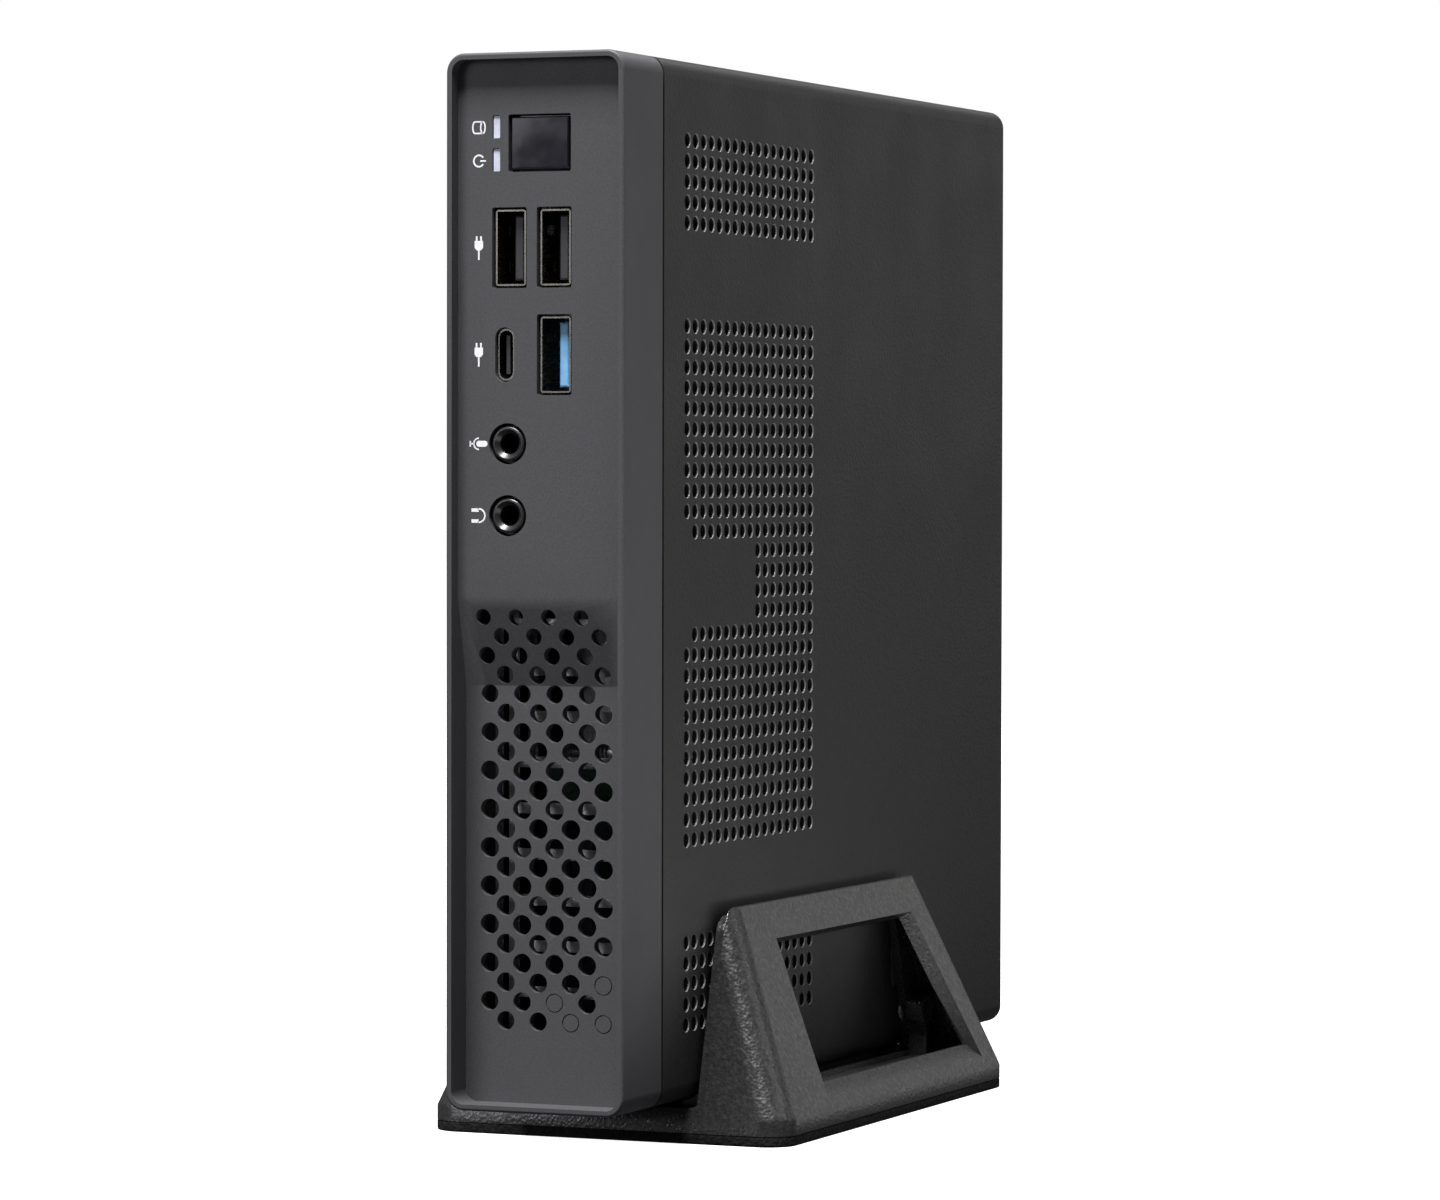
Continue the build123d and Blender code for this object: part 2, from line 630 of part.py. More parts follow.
def cpu_package():
    """Processor with its socket frame and heat spreader."""
    y, z = cooler_centre
    frame = rounded_plate_x(y - 24, y + 24, z - 27, z + 27, 2.0, board_x, board_x + 2.6)
    frame -= block(board_x + 1.6, board_x + 5, y - 19, y + 19, z - 19, z + 19)
    substrate = block(board_x + 1.6, board_x + 2.8, y - 18.75, y + 18.75, z - 18.75, z + 18.75)
    spreader = rounded_plate_x(y - 15, y + 15, z - 15, z + 15, 2.0, board_x + 2.8, package_top)
    return [frame, substrate + spreader]


def cold_plate():
    """Copper plate between the processor and the fins."""
    y, z = cooler_centre
    return rounded_plate_x(y - 17, y + 17, z - 17, z + 17, 1.0, package_top, plate_top)


def heatsink():
    """Aluminium base with upright fins."""
    y, z = cooler_centre
    half = cooler_size / 2
    base_x = plate_top + 2.2
    sink = rounded_plate_x(y - half, y + half, z - half, z + half, 2.0, plate_top, base_x)
    fin_count = 25
    fin_step = (cooler_size - 1.0) / (fin_count - 1)
    for i in range(fin_count):
        fin_y = y - half + 0.2 + i * fin_step
        sink += block(base_x - 0.2, fins_top, fin_y, fin_y + 0.6, z - half + 1, z + half - 1)
    for screw_y, screw_z in cooler_screw_yz():
        sink -= rod_x(screw_y, screw_z, 3.6, base_x, fins_top + 1)
        sink -= rod_x(screw_y, screw_z, 1.8, plate_top - 1, base_x + 1)
    for screw_y, screw_z in fan_fixings():
        sink -= rod_x(screw_y, screw_z, fan_thread_r + 0.05, fins_top - 3.0, fins_top + 1)
    return sink


def cooler_screws():
    """Shouldered screws that clamp the cooler through the board."""
    return [pan_screw_x(y, z, plate_top + 5.2, plate_top + 5.2 - board_back_x + 0.9) for y, z in cooler_screw_yz()]


def cooler_springs():
    """Compression springs under the cooler screws' heads, as wound coils."""
    springs = []
    wire_r = 0.3
    for y, z in cooler_screw_yz():
        x0 = plate_top + 2.2 + wire_r + 0.02
        coil = Helix(pitch=0.87, height=2.3, radius=2.3, center=(x0, y, z), direction=(1, 0, 0))
        profile = Plane(origin=coil @ 0, z_dir=coil % 0) * Circle(wire_r)
        springs.append(sweep(profile, path=coil, is_frenet=True))
    return springs


def cooler_backplate():
    """Cross-shaped steel plate behind the board with threaded corners."""
    y, z = cooler_centre
    half = cooler_pitch / 2
    x0 = board_back_x - 1.5
    plate = rounded_plate_x(y - half - 4, y + half + 4, z - half - 4, z + half + 4, 3.0, x0, board_back_x)
    plate -= rounded_plate_x(y - half + 6, y + half - 6, z - half + 6, z + half - 6, 3.0, x0 - 1, board_back_x + 1)
    return plate - [rod_x(sy, sz, 1.46, x0 - 1, board_back_x + 1) for sy, sz in cooler_screw_yz()]


# ---- fan ------------------------------------------------------------------
def fan_frame():
    """Square fan frame with a spider and a bearing tube."""
    y, z = cooler_centre
    half = fan_size / 2
    x0, x1 = fan_x
    frame = rounded_plate_x(y - half, y + half, z - half, z + half, 4.0, x0, x1)
    frame -= rod_x(y, z, fan_bore_r, x0 - 1, x1 + 1)
    spokes = rod_x(y, z, hub_r, x0, x0 + 0.9)
    for i in range(4):
        spoke = block(x0, x0 + 0.9, y - 1.4, y + 1.4, z, z + fan_bore_r + 1.5)
        spokes += spoke.rotate(Axis((0, y, z), (1, 0, 0)), 20 + 90 * i)
    frame += spokes
    frame += rod_x(y, z, 3.0, x0, x0 + 4.6)
    frame -= rod_x(y, z, shaft_r + shaft_clearance, x0 + 0.5, x0 + 6)
    for screw_y, screw_z in fan_screw_yz():
        frame -= rod_x(screw_y, screw_z, 1.7, x0 - 1, x1 + 1)
    return frame


def fan_screw_yz():
    """Corners of the fan's 50 mm screw pattern."""
    y, z = cooler_centre
    return [(y + a * 25, z + b * 25) for a in (-1, 1) for b in (-1, 1)]


def fan_fixings():
    """The two opposite corners of the fan that are screwed to the fins."""
    corners = fan_screw_yz()
    return [corners[0], corners[3]]


def fan_screws():
    """Screws through the fan frame into the fins."""
    length = fan_x[1] - fins_top + 2.5
    return [pan_screw_x(y, z, fan_x[1], length, thread_r=fan_thread_r, head_r=2.4, head_height=1.2)
            for y, z in fan_fixings()]


def fan_rotor():
    """Hub with its shaft and nine pitched blades."""
    y, z = cooler_centre
    x0, x1 = fan_x
    hub = rod_x(y, z, hub_r, x0 + 1.6, x1 - 0.5)
    hub = fillet(hub.edges().group_by(Axis.X)[-1], 1.0)
    hub -= rod_x(y, z, hub_r - 1.2, x0, x1 - 2.0)
    shaft = rod_x(y, z, shaft_r, x0 + 0.9, x1 - 1.0)
    rotor = hub + shaft
    ring = tube_x(y, z, rotor_r, hub_r - 0.6, x0 + 1.8, x1 - 0.8)
    for i in range(9):
        blade = Pos((x0 + x1) / 2 + 0.4, y, z + (hub_r + rotor_r) / 2) * Rot(0, 0, 42) * Box(12.5, 0.9, rotor_r - hub_r + 3)
        rotor += (blade & ring).rotate(Axis((0, y, z), (1, 0, 0)), 40 * i)
    return rotor


# ---- memory, storage and small parts on the board --------------------------
memory_y = (front_y + 27.0, front_y + 94.6)
memory_z = (27.0, 57.0)
memory_x = (board_x + 3.2, board_x + 7.4)


def memory_sockets():
    """Two stacked sockets with latch arms."""
    sockets = []
    base_x = board_x
    for x in memory_x:
        y0, y1 = memory_y
        body = block(base_x, x + 1.9, y0 - 2.0, y1 + 2.0, memory_z[0] - 4.0, memory_z[0] + 1.0)
        body -= block(x - 0.05, x + 1.05, y0 - 0.1, y1 + 0.1, memory_z[0] - 1.5, memory_z[0] + 2.0)
        for y in (y0 - 2.0, y1 + 0.6):
            body += block(base_x, x + 1.6, y, y + 1.4, memory_z[0], memory_z[1] - 2.0)
        sockets.append(body)
        base_x = x + 1.95
    sockets[1] = sockets[1] - block(board_x, memory_x[0] + 1.94, -200, 200, 0, 100)
    return sockets


def memory_modules():
    """Two memory boards, each with eight chips on one side."""
    modules = []
    for x in memory_x:
        module = block(x, x + 1.0, *memory_y, memory_z[0] - 1.0, memory_z[1])
        for i in range(4):
            y = memory_y[0] + 7.5 + i * 15.5
            module += block(x + 0.9, x + 1.8, y, y + 9.5, memory_z[0] + 11, memory_z[0] + 24)
        modules.append(module)
    return modules


ssd_y = (front_y + 106.0, front_y + 128.0)
ssd_z = (22.0, 102.0)
wifi_y = (front_y + 134.0, front_y + 156.0)
wifi_z = (22.0, 52.0)


def m2_socket(y_span, z0):
    """Edge socket of a plug-in card."""
    socket = block(board_x, board_x + 4.2, *y_span, z0 - 4.0, z0 + 2.0)
    return socket - block(board_x + 2.45, board_x + 3.35, y_span[0] + 1, y_span[1] - 1, z0 - 2.0, z0 + 3.0)


def plug_in_card(y_span, z_span, chips):
    """Thin card with flat chips; chips are (low z, high z) spans."""
    x = board_x + 2.5
    card = block(x, x + 0.8, y_span[0] + 1.05, y_span[1] - 1.05, z_span[0] - 1.9, z_span[1])
    for z0, z1 in chips:
        card += block(x + 0.7, x + 2.0, y_span[0] + 4.0, y_span[1] - 4.0, z0, z1)
    middle_y = (y_span[0] + y_span[1]) / 2
    return card - rod_x(middle_y, z_span[1], 1.9, x - 1, x + 2)


def m2_sockets():
    """Sockets of the storage card and of the wireless card."""
    return [m2_socket(ssd_y, ssd_z[0]), m2_socket(wifi_y, wifi_z[0])]


def m2_posts():
    """Brass posts with screws that hold the free ends of the two cards."""
    posts = []
    for y_span, z_span in ((ssd_y, ssd_z), (wifi_y, wifi_z)):
        y = (y_span[0] + y_span[1]) / 2
        post = rod_x(y, z_span[1], 1.6, board_x, board_x + 3.4)
        post += rod_x(y, z_span[1], 2.6, board_x, board_x + 2.45)
        posts.append(post + rod_x(y, z_span[1], 2.5, board_x + 3.35, board_x + 4.3))
    return posts


drive_x = (board_x + 9.2, board_x + 16.2)
drive_y = (front_y + 97.5, front_y + 167.35)
drive_z = (17.0, 117.0)
bracket_thickness = 0.8
bracket_foot_z = (36.0, 52.0)
bracket_foot_y = (front_y + 99.0, front_y + 161.0)
drive_screw_yz = [(y, z) for y in (drive_y[0] + 4.1, drive_y[1] - 4.1) for z in (drive_z[0] + 14, drive_z[1] - 9.4)]


def storage_bay_bracket():
    """Steel shelf above the cards, with feet on the board, that the drive is screwed to."""
    x0 = drive_x[0] - bracket_thickness
    shelf = block(x0, drive_x[0], *drive_y, drive_z[0] + 5, drive_z[1] - 4)
    shelf -= rounded_plate_x(drive_y[0] + 9, drive_y[1] - 9, drive_z[0] + 22, drive_z[1] - 20, 4.0, x0 - 1, drive_x[0] + 1)
    for y in bracket_foot_y:
        shelf += block(board_x, drive_x[0], y, y + bracket_thickness, *bracket_foot_z)
    return shelf - [rod_x(y, z, m3_clear_r, x0 - 1, drive_x[0] + 1) for y, z in drive_screw_yz]


def storage_drive():
    """Slim 2.5 inch solid-state drive, with the opening of its edge connector."""
    drive = rounded_plate_x(*drive_y, *drive_z, 1.5, *drive_x)
    drive = chamfer(drive.faces().sort_by(Axis.X)[-1].edges(), 0.4)
    drive -= block(drive_x[0] + 1.2, drive_x[0] + 4.6, drive_y[0] + 10, drive_y[0] + 44, drive_z[0] - 1, drive_z[0] + 4)
    return drive - [rod_x(y, z, 1.46, drive_x[0] - 1, drive_x[0] + 3.2) for y, z in drive_screw_yz]


def drive_screws():
    """Screws from below the shelf into the drive."""
    screws = []
    for y, z in drive_screw_yz:
        head = rod_x(y, z, 2.5, drive_x[0] - bracket_thickness - 1.2, drive_x[0] - bracket_thickness)
        head -= block(drive_x[0] - 4, drive_x[0] - bracket_thickness - 0.7, y - 0.35, y + 0.35, z - 1.5, z + 1.5)
        screws.append(head + rod_x(y, z, 1.45, drive_x[0] - bracket_thickness - 0.3, drive_x[0] + 2.8))
    return screws


coin_cell_yz = (front_y + 122.0, 128.0)


def coin_cell():
    """Clock battery, 20 mm across."""
    y, z = coin_cell_yz
    cell = rod_x(y, z, 10.0, board_x + 0.8, board_x + 4.0)
    return fillet(cell.edges(), 0.4)


def coin_cell_holder():
    """Round plastic cup of the clock battery."""
    y, z = coin_cell_yz
    cup = rod_x(y, z, 11.4, board_x, board_x + 3.4) - rod_x(y, z, 10.1, board_x + 0.75, board_x + 5)
    return cup - block(board_x + 0.8, board_x + 5, y - 3, y + 3, z + 8, z + 13)


def power_coils():
    """Choke coils of the voltage converter beside the processor."""
    coils = []
    for i in range(4):
        z = cooler_centre[1] - 24 + i * 14.0
        coil = block(board_x, board_x + 4.0, front_y + 95.0, front_y + 102.0, z, z + 7.0)
        coils.append(chamfer(coil.edges().filter_by(Axis.X), 0.8))
    return coils


def power_capacitors():
    """Can capacitors of the voltage converter."""
    cans = []
    for i in range(5):
        can = rod_x(front_y + 107.5, cooler_centre[1] + 8 + i * 9.0, 3.15, board_x, board_x + 5.8)
        cans.append(fillet(can.edges().group_by(Axis.X)[-1], 0.4))
    return cans


def chipset():
    """Bridge chip with a small finned heatsink."""
    y0 = front_y + 139.0
    z0 = 140.0
    base = block(board_x, board_x + 3.4, y0, y0 + 22, z0 - 11, z0 + 11)
    for i in range(6):
        base += block(board_x + 3.3, board_x + 8.5, y0 + 0.2 + i * 4.1, y0 + 1.3 + i * 4.1, z0 - 11, z0 + 11)
    return base


# ---- rear ports -------------------------------------------------------------
def port_block(port, wall, mouth_depth):
    """Body of a rear socket with a rectangular mouth."""
    width, height = port["size"]
    y1 = rear_y - 0.05
    y0 = y1 - port["depth"]
    z = port["z"]
    x0 = port["x0"]
    body = block(x0, x0 + height, y0, y1, z - width / 2, z + width / 2)
    mouth = block(x0 + wall, x0 + height - wall, y1 - mouth_depth, y1 + 1, z - width / 2 + wall, z + width / 2 - wall)
    return body - mouth


def dc_jack():
    """Round power inlet with a centre pin, for a 5.5 mm barrel plug."""
    port = rear_ports["dc_jack"]
    width, height = port["size"]
    x = port["x0"] + height / 2
    z = port["z"]
    y1 = rear_y - 0.05
    body = block(port["x0"], port["x0"] + height, y1 - port["depth"], y1, z - width / 2, z + width / 2)
    body -= rod_y(x, z, 2.9, y1 - 9.5, y1 + 1)
    return body + rod_y(x, z, 1.2, y1 - 10.5, y1 - 0.8)


def video_port(name):
    """Shielded socket with a thin tongue in the middle of its mouth."""
    port = rear_ports[name]
    body = port_block(port, 0.5, 8.5)
    height = port["size"][1]
    width = port["size"][0]
    x = port["x0"] + height / 2
    y1 = rear_y - 0.05
    return body + block(x - 0.6, x + 0.6, y1 - 9.0, y1 - 1.2, port["z"] - width / 2 + 2.4, port["z"] + width / 2 - 2.4)


def lan_port():
    """Network socket with the latch notch and eight contact wires."""
    port = rear_ports["lan_port"]
    width, height = port["size"]
    x0 = port["x0"]
    z = port["z"]
    y1 = rear_y - 0.05
    body = block(x0, x0 + height, y1 - port["depth"], y1, z - width / 2, z + width / 2)
    body -= block(x0 + 3.0, x0 + 10.2, y1 - 13.0, y1 + 1, z - 5.9, z + 5.9)
    body -= block(x0 + 10.0, x0 + 12.4, y1 - 9.0, y1 + 1, z - 3.0, z + 3.0)
    for i in range(8):
        wire_z = z - 3.57 + i * 1.02
        body += block(x0 + 2.8, x0 + 3.5, y1 - 11.0, y1 - 2.5, wire_z - 0.25, wire_z + 0.25)
    return body


def rear_usb_shells():
    """Two double type A sockets."""
    shells = []
    for name in ("rear_usb_low", "rear_usb_high"):
        port = rear_ports[name]
        width, height = port["size"]
        x0 = port["x0"]
        z = port["z"]
        y1 = rear_y - 0.05
        body = block(x0, x0 + height, y1 - port["depth"], y1, z - width / 2, z + width / 2)
        for mouth_x in (x0 + 1.2, x0 + 8.9):
            body -= block(mouth_x, mouth_x + 5.1, y1 - 12.5, y1 + 1, z - 6.25, z + 6.25)
        shells.append(body)
    return shells


def rear_usb_tongues():
    """Tongues of the four rear type A sockets."""
    tongues = []
    for name in ("rear_usb_low", "rear_usb_high"):
        port = rear_ports[name]
        y1 = rear_y - 0.05
        for mouth_x in (port["x0"] + 1.2, port["x0"] + 8.9):
            side = mouth_x + 5.1 - 0.6
            tongues.append(block(side - 1.84, side, y1 - 12.5, y1 - 1.2, port["z"] - 5.55, port["z"] + 5.55))
    return tongues


# ---- stand ------------------------------------------------------------------
def rise(z):
    """0 at the top of the skirt and 1 at the ridge."""
    return (z - skirt_top) / (wing_top - skirt_top)


def wing_x(z):
    """Outer face of the wing at a height."""
    return stand_half_width + (wing_top_x - stand_half_width) * rise(z)


def wing_front_y(z):
    """Front wall of the stand at a height."""
    return stand_front_y + wing_lean * max(z - skirt_top, 0)


def wing_rear_y(z):
    """Rear wall of the stand at a height."""
    return stand_rear_y - wing_lean * max(z - skirt_top, 0)


def stand_section(z, inset, inner_x, height):
    """Plan outline of one wing at a height, drawn from inner_x outwards."""
    t = rise(max(z, skirt_top))
    x = wing_x(max(z, skirt_top)) - inset
    front = wing_front_y(z) + inset
    rear = wing_rear_y(z) - inset
    front_r = max(wing_front_r[0] + (wing_front_r[1] - wing_front_r[0]) * t - inset, 0.6)
    rear_r = max(wing_rear_r[0] + (wing_rear_r[1] - wing_rear_r[0]) * t - inset, 0.6)
    s = math.sqrt(0.5)
    edges = [
        Line((inner_x, front, height), (x - front_r, front, height)),
        ThreePointArc((x - front_r, front, height), (x - front_r + front_r * s, front + front_r - front_r * s, height),
                      (x, front + front_r, height)),
        Line((x, front + front_r, height), (x, rear - rear_r, height)),
        ThreePointArc((x, rear - rear_r, height), (x - rear_r + rear_r * s, rear - rear_r + rear_r * s, height),
                      (x - rear_r, rear, height)),
        Line((x - rear_r, rear, height), (inner_x, rear, height)),
        Line((inner_x, rear, height), (inner_x, front, height)),
    ]
    return make_face(edges)


def window_cutter():
    """Trapezoid opening in the wing's face: bevelled mouth and straight way in."""
    outer = []
    inner = []
    corners = [(window_low, window_low_y[0], 1, bevel_bottom, 1), (window_low, window_low_y[1], -1, bevel_bottom, 1),
               (window_high, window_high_y[1], -1, bevel_top, -1), (window_high, window_high_y[0], 1, bevel_top, -1)]
    for z, y, side, height_inset, up in corners:
        p = Vector(wing_x(z), y, z)
        q = Vector(wing_x(z) - bevel_depth, y + side * bevel_side, z + up * height_inset)
        outer.append(p + (p - q) * 0.5)
        inner.append(q)
    mouth = loft([make_face(Polyline(outer, close=True)), make_face(Polyline(inner, close=True))], ruled=True)
    way_in = extrude(make_face(Polyline(inner, close=True)), amount=20, dir=(-1, 0, 0))
    return mouth + way_in


wing_screw_yz = [(stand_front_y + 10.5, 15.0), (stand_rear_y - 10.5, 15.0)]
wing_boss_x = cradle_half_width + 3.6
wing_screw_x = cradle_half_width + 3.0


def ridge_end_cutters(top):
    """Cutters that round the front and rear ends of a wall whose upper edge is at top."""
    lean = math.atan(wing_lean)
    cutters = []
    for wall_y, r, side in ((wing_front_y, ridge_front_r, 1), (wing_rear_y, ridge_rear_r, -1)):
        z = top - r
        y = wall_y(z) + side * r / math.cos(lean)
        reach = r + 2
        corner = [(y, z), (y - side * reach * math.cos(lean), z + reach * math.sin(lean)),
                  (y - side * reach, top + 2), (y, top + 2)]
        wedge = side_profile(corner, -stand_half_width, stand_half_width)
        cutters.append(wedge - rod_x(y, z, r, -stand_half_width - 1, stand_half_width + 1))
    return cutters


def stand_wing():
    """Right wing: hollow wedge with a window, open towards the cradle."""
    inner_x = 8.0
    wedge = loft([stand_section(skirt_top, 0, inner_x, skirt_top), stand_section(wing_top, 0, inner_x, wing_top)],
                 ruled=True)
    skirt = extrude(stand_section(skirt_top, 0, inner_x, pad_top), amount=skirt_top - pad_top, dir=(0, 0, 1))
    body = wedge + skirt
    hollow = loft([stand_section(base_top, wing_wall, inner_x - 2, base_top),
                   stand_section(wing_top - wing_wall, wing_wall, inner_x - 2, wing_top - wing_wall)], ruled=True)
    body = body - hollow - window_cutter()
    body &= block(cradle_half_width, stand_half_width + 1, stand_front_y - 1, stand_rear_y + 1, 0, wing_top + 1)
    for y, z in wing_screw_yz:
        body += rod_x(y, z, 2.8, cradle_half_width, wing_boss_x)
        body += block(cradle_half_width, wing_boss_x, y - 0.7, y + 0.7, base_top - 0.5, z - 2)
        body -= rod_x(y, z, 1.2, cradle_half_width - 1, wing_screw_x + 0.2)
    return body - ridge_end_cutters(wing_top)


def corner_ribs():
    """Four ribs on the cradle's floor that guide the case's rounded lower edges."""
    clearance = 0.3
    section = rounded_bar_y(-half_width - clearance, half_width + clearance, case_bottom - clearance,
                            case_top, corner_r + clearance, stand_front_y, stand_rear_y)
    ribs = []
    for y0 in (stand_front_y + 4, stand_rear_y - 8):
        for sign in (-1, 1):
            x0, x1 = sorted((sign * 13.5, sign * (cradle_half_width - cradle_wall + 0.1)))
            ribs.append(block(x0, x1, y0, y0 + 4, base_top - 0.1, case_bottom + corner_r) - section)
    return ribs


def stand_cradle():
    """Base plate and two window frames that hold the case upright."""
    base = side_profile([(stand_front_y, pad_top), (stand_front_y, skirt_top), (wing_front_y(base_top), base_top),
                         (wing_rear_y(base_top), base_top), (stand_rear_y, skirt_top), (stand_rear_y, pad_top)],
                        -cradle_half_width, cradle_half_width)
    side = [(stand_front_y, pad_top), (stand_front_y, skirt_top), (wing_front_y(cradle_top), cradle_top),
            (wing_rear_y(cradle_top), cradle_top), (stand_rear_y, skirt_top), (stand_rear_y, pad_top)]
    opening = [(window_low_y[0] - 1.0, base_top + 0.9), (window_low_y[1] + 1.0, base_top + 0.9),
               (window_high_y[1] + 0.5, window_high + 0.2), (window_high_y[0] - 0.5, window_high + 0.2)]
    cradle = base
    for side_sign in (-1, 1):
        x0, x1 = sorted((side_sign * (cradle_half_width - cradle_wall), side_sign * cradle_half_width))
        cradle += side_profile(side, x0, x1) - side_profile(opening, x0 - 1, x1 + 1)
    cradle = cradle - ridge_end_cutters(cradle_top) + corner_ribs()
    for y, z in wing_screw_yz:
        cradle -= rod_x(y, z, 1.35, -cradle_half_width - 1, cradle_half_width + 1)
        cradle -= cone_x(y, z, 2.45, 1.3, cradle_half_width - cradle_wall - 0.01, cradle_half_width - 0.2)
        cradle -= cone_x(y, z, 1.3, 2.45, -cradle_half_width + 0.2, -cradle_half_width + cradle_wall + 0.01)
    return cradle


def wing_screws():
    """Countersunk screws from the inside of the cradle into the wings."""
    screws = []
    head_x = cradle_half_width - cradle_wall
    for y, z in wing_screw_yz:
        head = cone_x(y, z, 2.4, 1.2, head_x + 0.02, head_x + 1.15)
        screw = head + rod_x(y, z, 1.19, head_x + 0.9, wing_screw_x)
        screw -= block(head_x - 0.5, head_x + 0.6, y - 0.3, y + 0.3, z - 1.3, z + 1.3)
        screw -= block(head_x - 0.5, head_x + 0.6, y - 1.3, y + 1.3, z - 0.3, z + 0.3)
        screws.append(screw)
        screws.append(mirror(screw, about=Plane.YZ))
    return screws


def stand_foam_pad():
    """Soft pad under the whole stand."""
    half = stand_section(skirt_top, 0, 0, 0)
    right = extrude(half, amount=pad_top, dir=(0, 0, 1))
    return right + mirror(right, about=Plane.YZ)


def cradle_rest_strips():
    """Two long rubber strips on the cradle's floor under the case, and one across its rear end."""
    cross_y = (stand_rear_y - 12.0, stand_rear_y - 8.5)
    strips = [block(x, x + 7, stand_front_y + 8, cross_y[0] - 0.5, base_top, case_bottom - 0.1) for x in (-13.0, 6.0)]
    return strips + [block(-17.0, 17.0, *cross_y, base_top, case_bottom - 0.05)]


def cradle_grip_strips():
    """Thin rubber strips on the inside of the cradle's frames."""
    strips = []
    inner_x = cradle_half_width - cradle_wall
    for y0 in (wing_front_y(34) + 1.5, wing_rear_y(34) - 7.5):
        for sign in (-1, 1):
            x0, x1 = sorted((sign * inner_x, sign * (half_width + 0.3)))
            strips.append(block(x0, x1, y0, y0 + 6, 20.0, 34.0))
    return strips


# ---- writing the parts --------------------------------------------------------
def all_parts():
    """Every node of the object by name."""
    shell = steel_shell()
    wing = stand_wing()
    usb_y = port_front_y
    parts = {
        "stand_cradle": stand_cradle(),
        "stand_wing_right": wing,
        "stand_wing_left": mirror(wing, about=Plane.YZ),
        "wing_screws": wing_screws(),
        "stand_foam_pad": stand_foam_pad(),
        "cradle_rest_strips": cradle_rest_strips(),
        "cradle_grip_strips": cradle_grip_strips(),
        "chassis_tray": chassis_tray(shell),
        "side_cover": side_cover(shell),
        "thumb_screw": thumb_screw(),
        "front_bezel": front_bezel(),
        "power_button": power_button(),
        "switch_board": switch_board(),
        "tact_switch": tact_switch(),
        "light_lenses": [led_lens(z) for z in led_z],
        "status_leds": status_leds(),
        "front_usb_shells": [usb_a_shell(x, z, usb_y) for x, z in usb2_centres + [usb3_centre]],
        "front_usb2_tongues": [usb_a_tongue(x, z, usb_y) for x, z in usb2_centres],
        "front_usb_contacts": [c for x, z in usb2_centres + [usb3_centre] for c in usb_a_contacts(x, z, usb_y)],
        "front_usb3_tongue": usb_a_tongue(*usb3_centre, usb_y),
        "front_usbc_shell": usb_c_shell() + usb_c_foot(),
        "front_usbc_tongue": usb_c_tongue(),
        "jack_springs": jack_springs(),
        "front_io_board": front_io_board(),
        "front_io_bracket": front_io_bracket(),
        "front_link_ribbon": front_link_ribbon(),
        "front_shield": front_shield(),
        "motherboard": motherboard(),
        "board_standoffs": board_standoffs(),
        "board_screws": [pan_screw_x(y, z, board_x, 5.0) for y, z in board_screw_yz + front_board_screws],
        "cpu_package": cpu_package(),
        "cold_plate": cold_plate(),
        "heatsink": heatsink(),
        "cooler_screws": cooler_screws(),
        "cooler_springs": cooler_springs(),
        "cooler_backplate": cooler_backplate(),
        "fan_frame": fan_frame(),
        "fan_rotor": fan_rotor(),
        "fan_screws": fan_screws(),
        "memory_sockets": memory_sockets(),
        "memory_modules": memory_modules(),
        "m2_sockets": m2_sockets(),
        "m2_storage_card": plug_in_card(ssd_y, ssd_z, [(30, 48), (54, 72), (78, 92)]),
        "wireless_card": plug_in_card(wifi_y, wifi_z, [(30, 44)]),
        "m2_posts": m2_posts(),
        "storage_bay_bracket": storage_bay_bracket(),
        "storage_drive": storage_drive(),
        "drive_screws": drive_screws(),
        "coin_cell": coin_cell(),
        "coin_cell_holder": coin_cell_holder(),
        "power_coils": power_coils(),
        "power_capacitors": power_capacitors(),
        "chipset": chipset(),
        "dc_jack": dc_jack(),
        "video_ports": [video_port("wide_video_port"), video_port("notched_video_port")],
        "lan_port": lan_port(),
        "rear_usb_shells": rear_usb_shells(),
        "rear_usb_tongues": rear_usb_tongues(),
    }
    for name, z in jack_z.items():
        parts[name] = audio_jack(z)
    return parts


def write_parts(parts):
    """One STEP file per node."""
    os.makedirs("parts", exist_ok=True)
    for name, shape in parts.items():
        if isinstance(shape, list):
            shape = Compound(children=[Part(s.wrapped) for s in shape])
        export_step(shape, f"parts/{name}.step")


write_parts(all_parts())
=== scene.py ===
import json
import math

import bmesh
import bpy
from mathutils import Matrix, Quaternion, Vector


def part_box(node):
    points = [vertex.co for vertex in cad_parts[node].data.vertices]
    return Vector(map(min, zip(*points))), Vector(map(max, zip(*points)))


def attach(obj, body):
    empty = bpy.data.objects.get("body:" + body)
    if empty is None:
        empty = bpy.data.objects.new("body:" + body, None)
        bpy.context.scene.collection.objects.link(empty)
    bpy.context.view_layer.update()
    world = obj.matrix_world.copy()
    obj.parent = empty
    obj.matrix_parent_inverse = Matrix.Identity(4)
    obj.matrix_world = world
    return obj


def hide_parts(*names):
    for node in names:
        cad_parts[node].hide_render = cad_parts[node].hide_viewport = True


# Looks of a slim upright mini pc in a two-wing stand. Metres, +Z up, the front faces -Y.

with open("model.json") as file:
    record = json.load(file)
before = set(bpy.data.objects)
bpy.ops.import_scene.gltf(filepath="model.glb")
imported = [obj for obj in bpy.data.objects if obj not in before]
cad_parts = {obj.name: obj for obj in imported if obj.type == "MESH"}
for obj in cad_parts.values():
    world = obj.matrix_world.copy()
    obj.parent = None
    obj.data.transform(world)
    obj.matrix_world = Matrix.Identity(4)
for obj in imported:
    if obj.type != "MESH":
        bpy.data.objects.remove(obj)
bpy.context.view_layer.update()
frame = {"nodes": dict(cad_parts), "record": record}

MM = 0.001
nodes = frame["nodes"]
plain_white = (1.0, 1.0, 1.0)

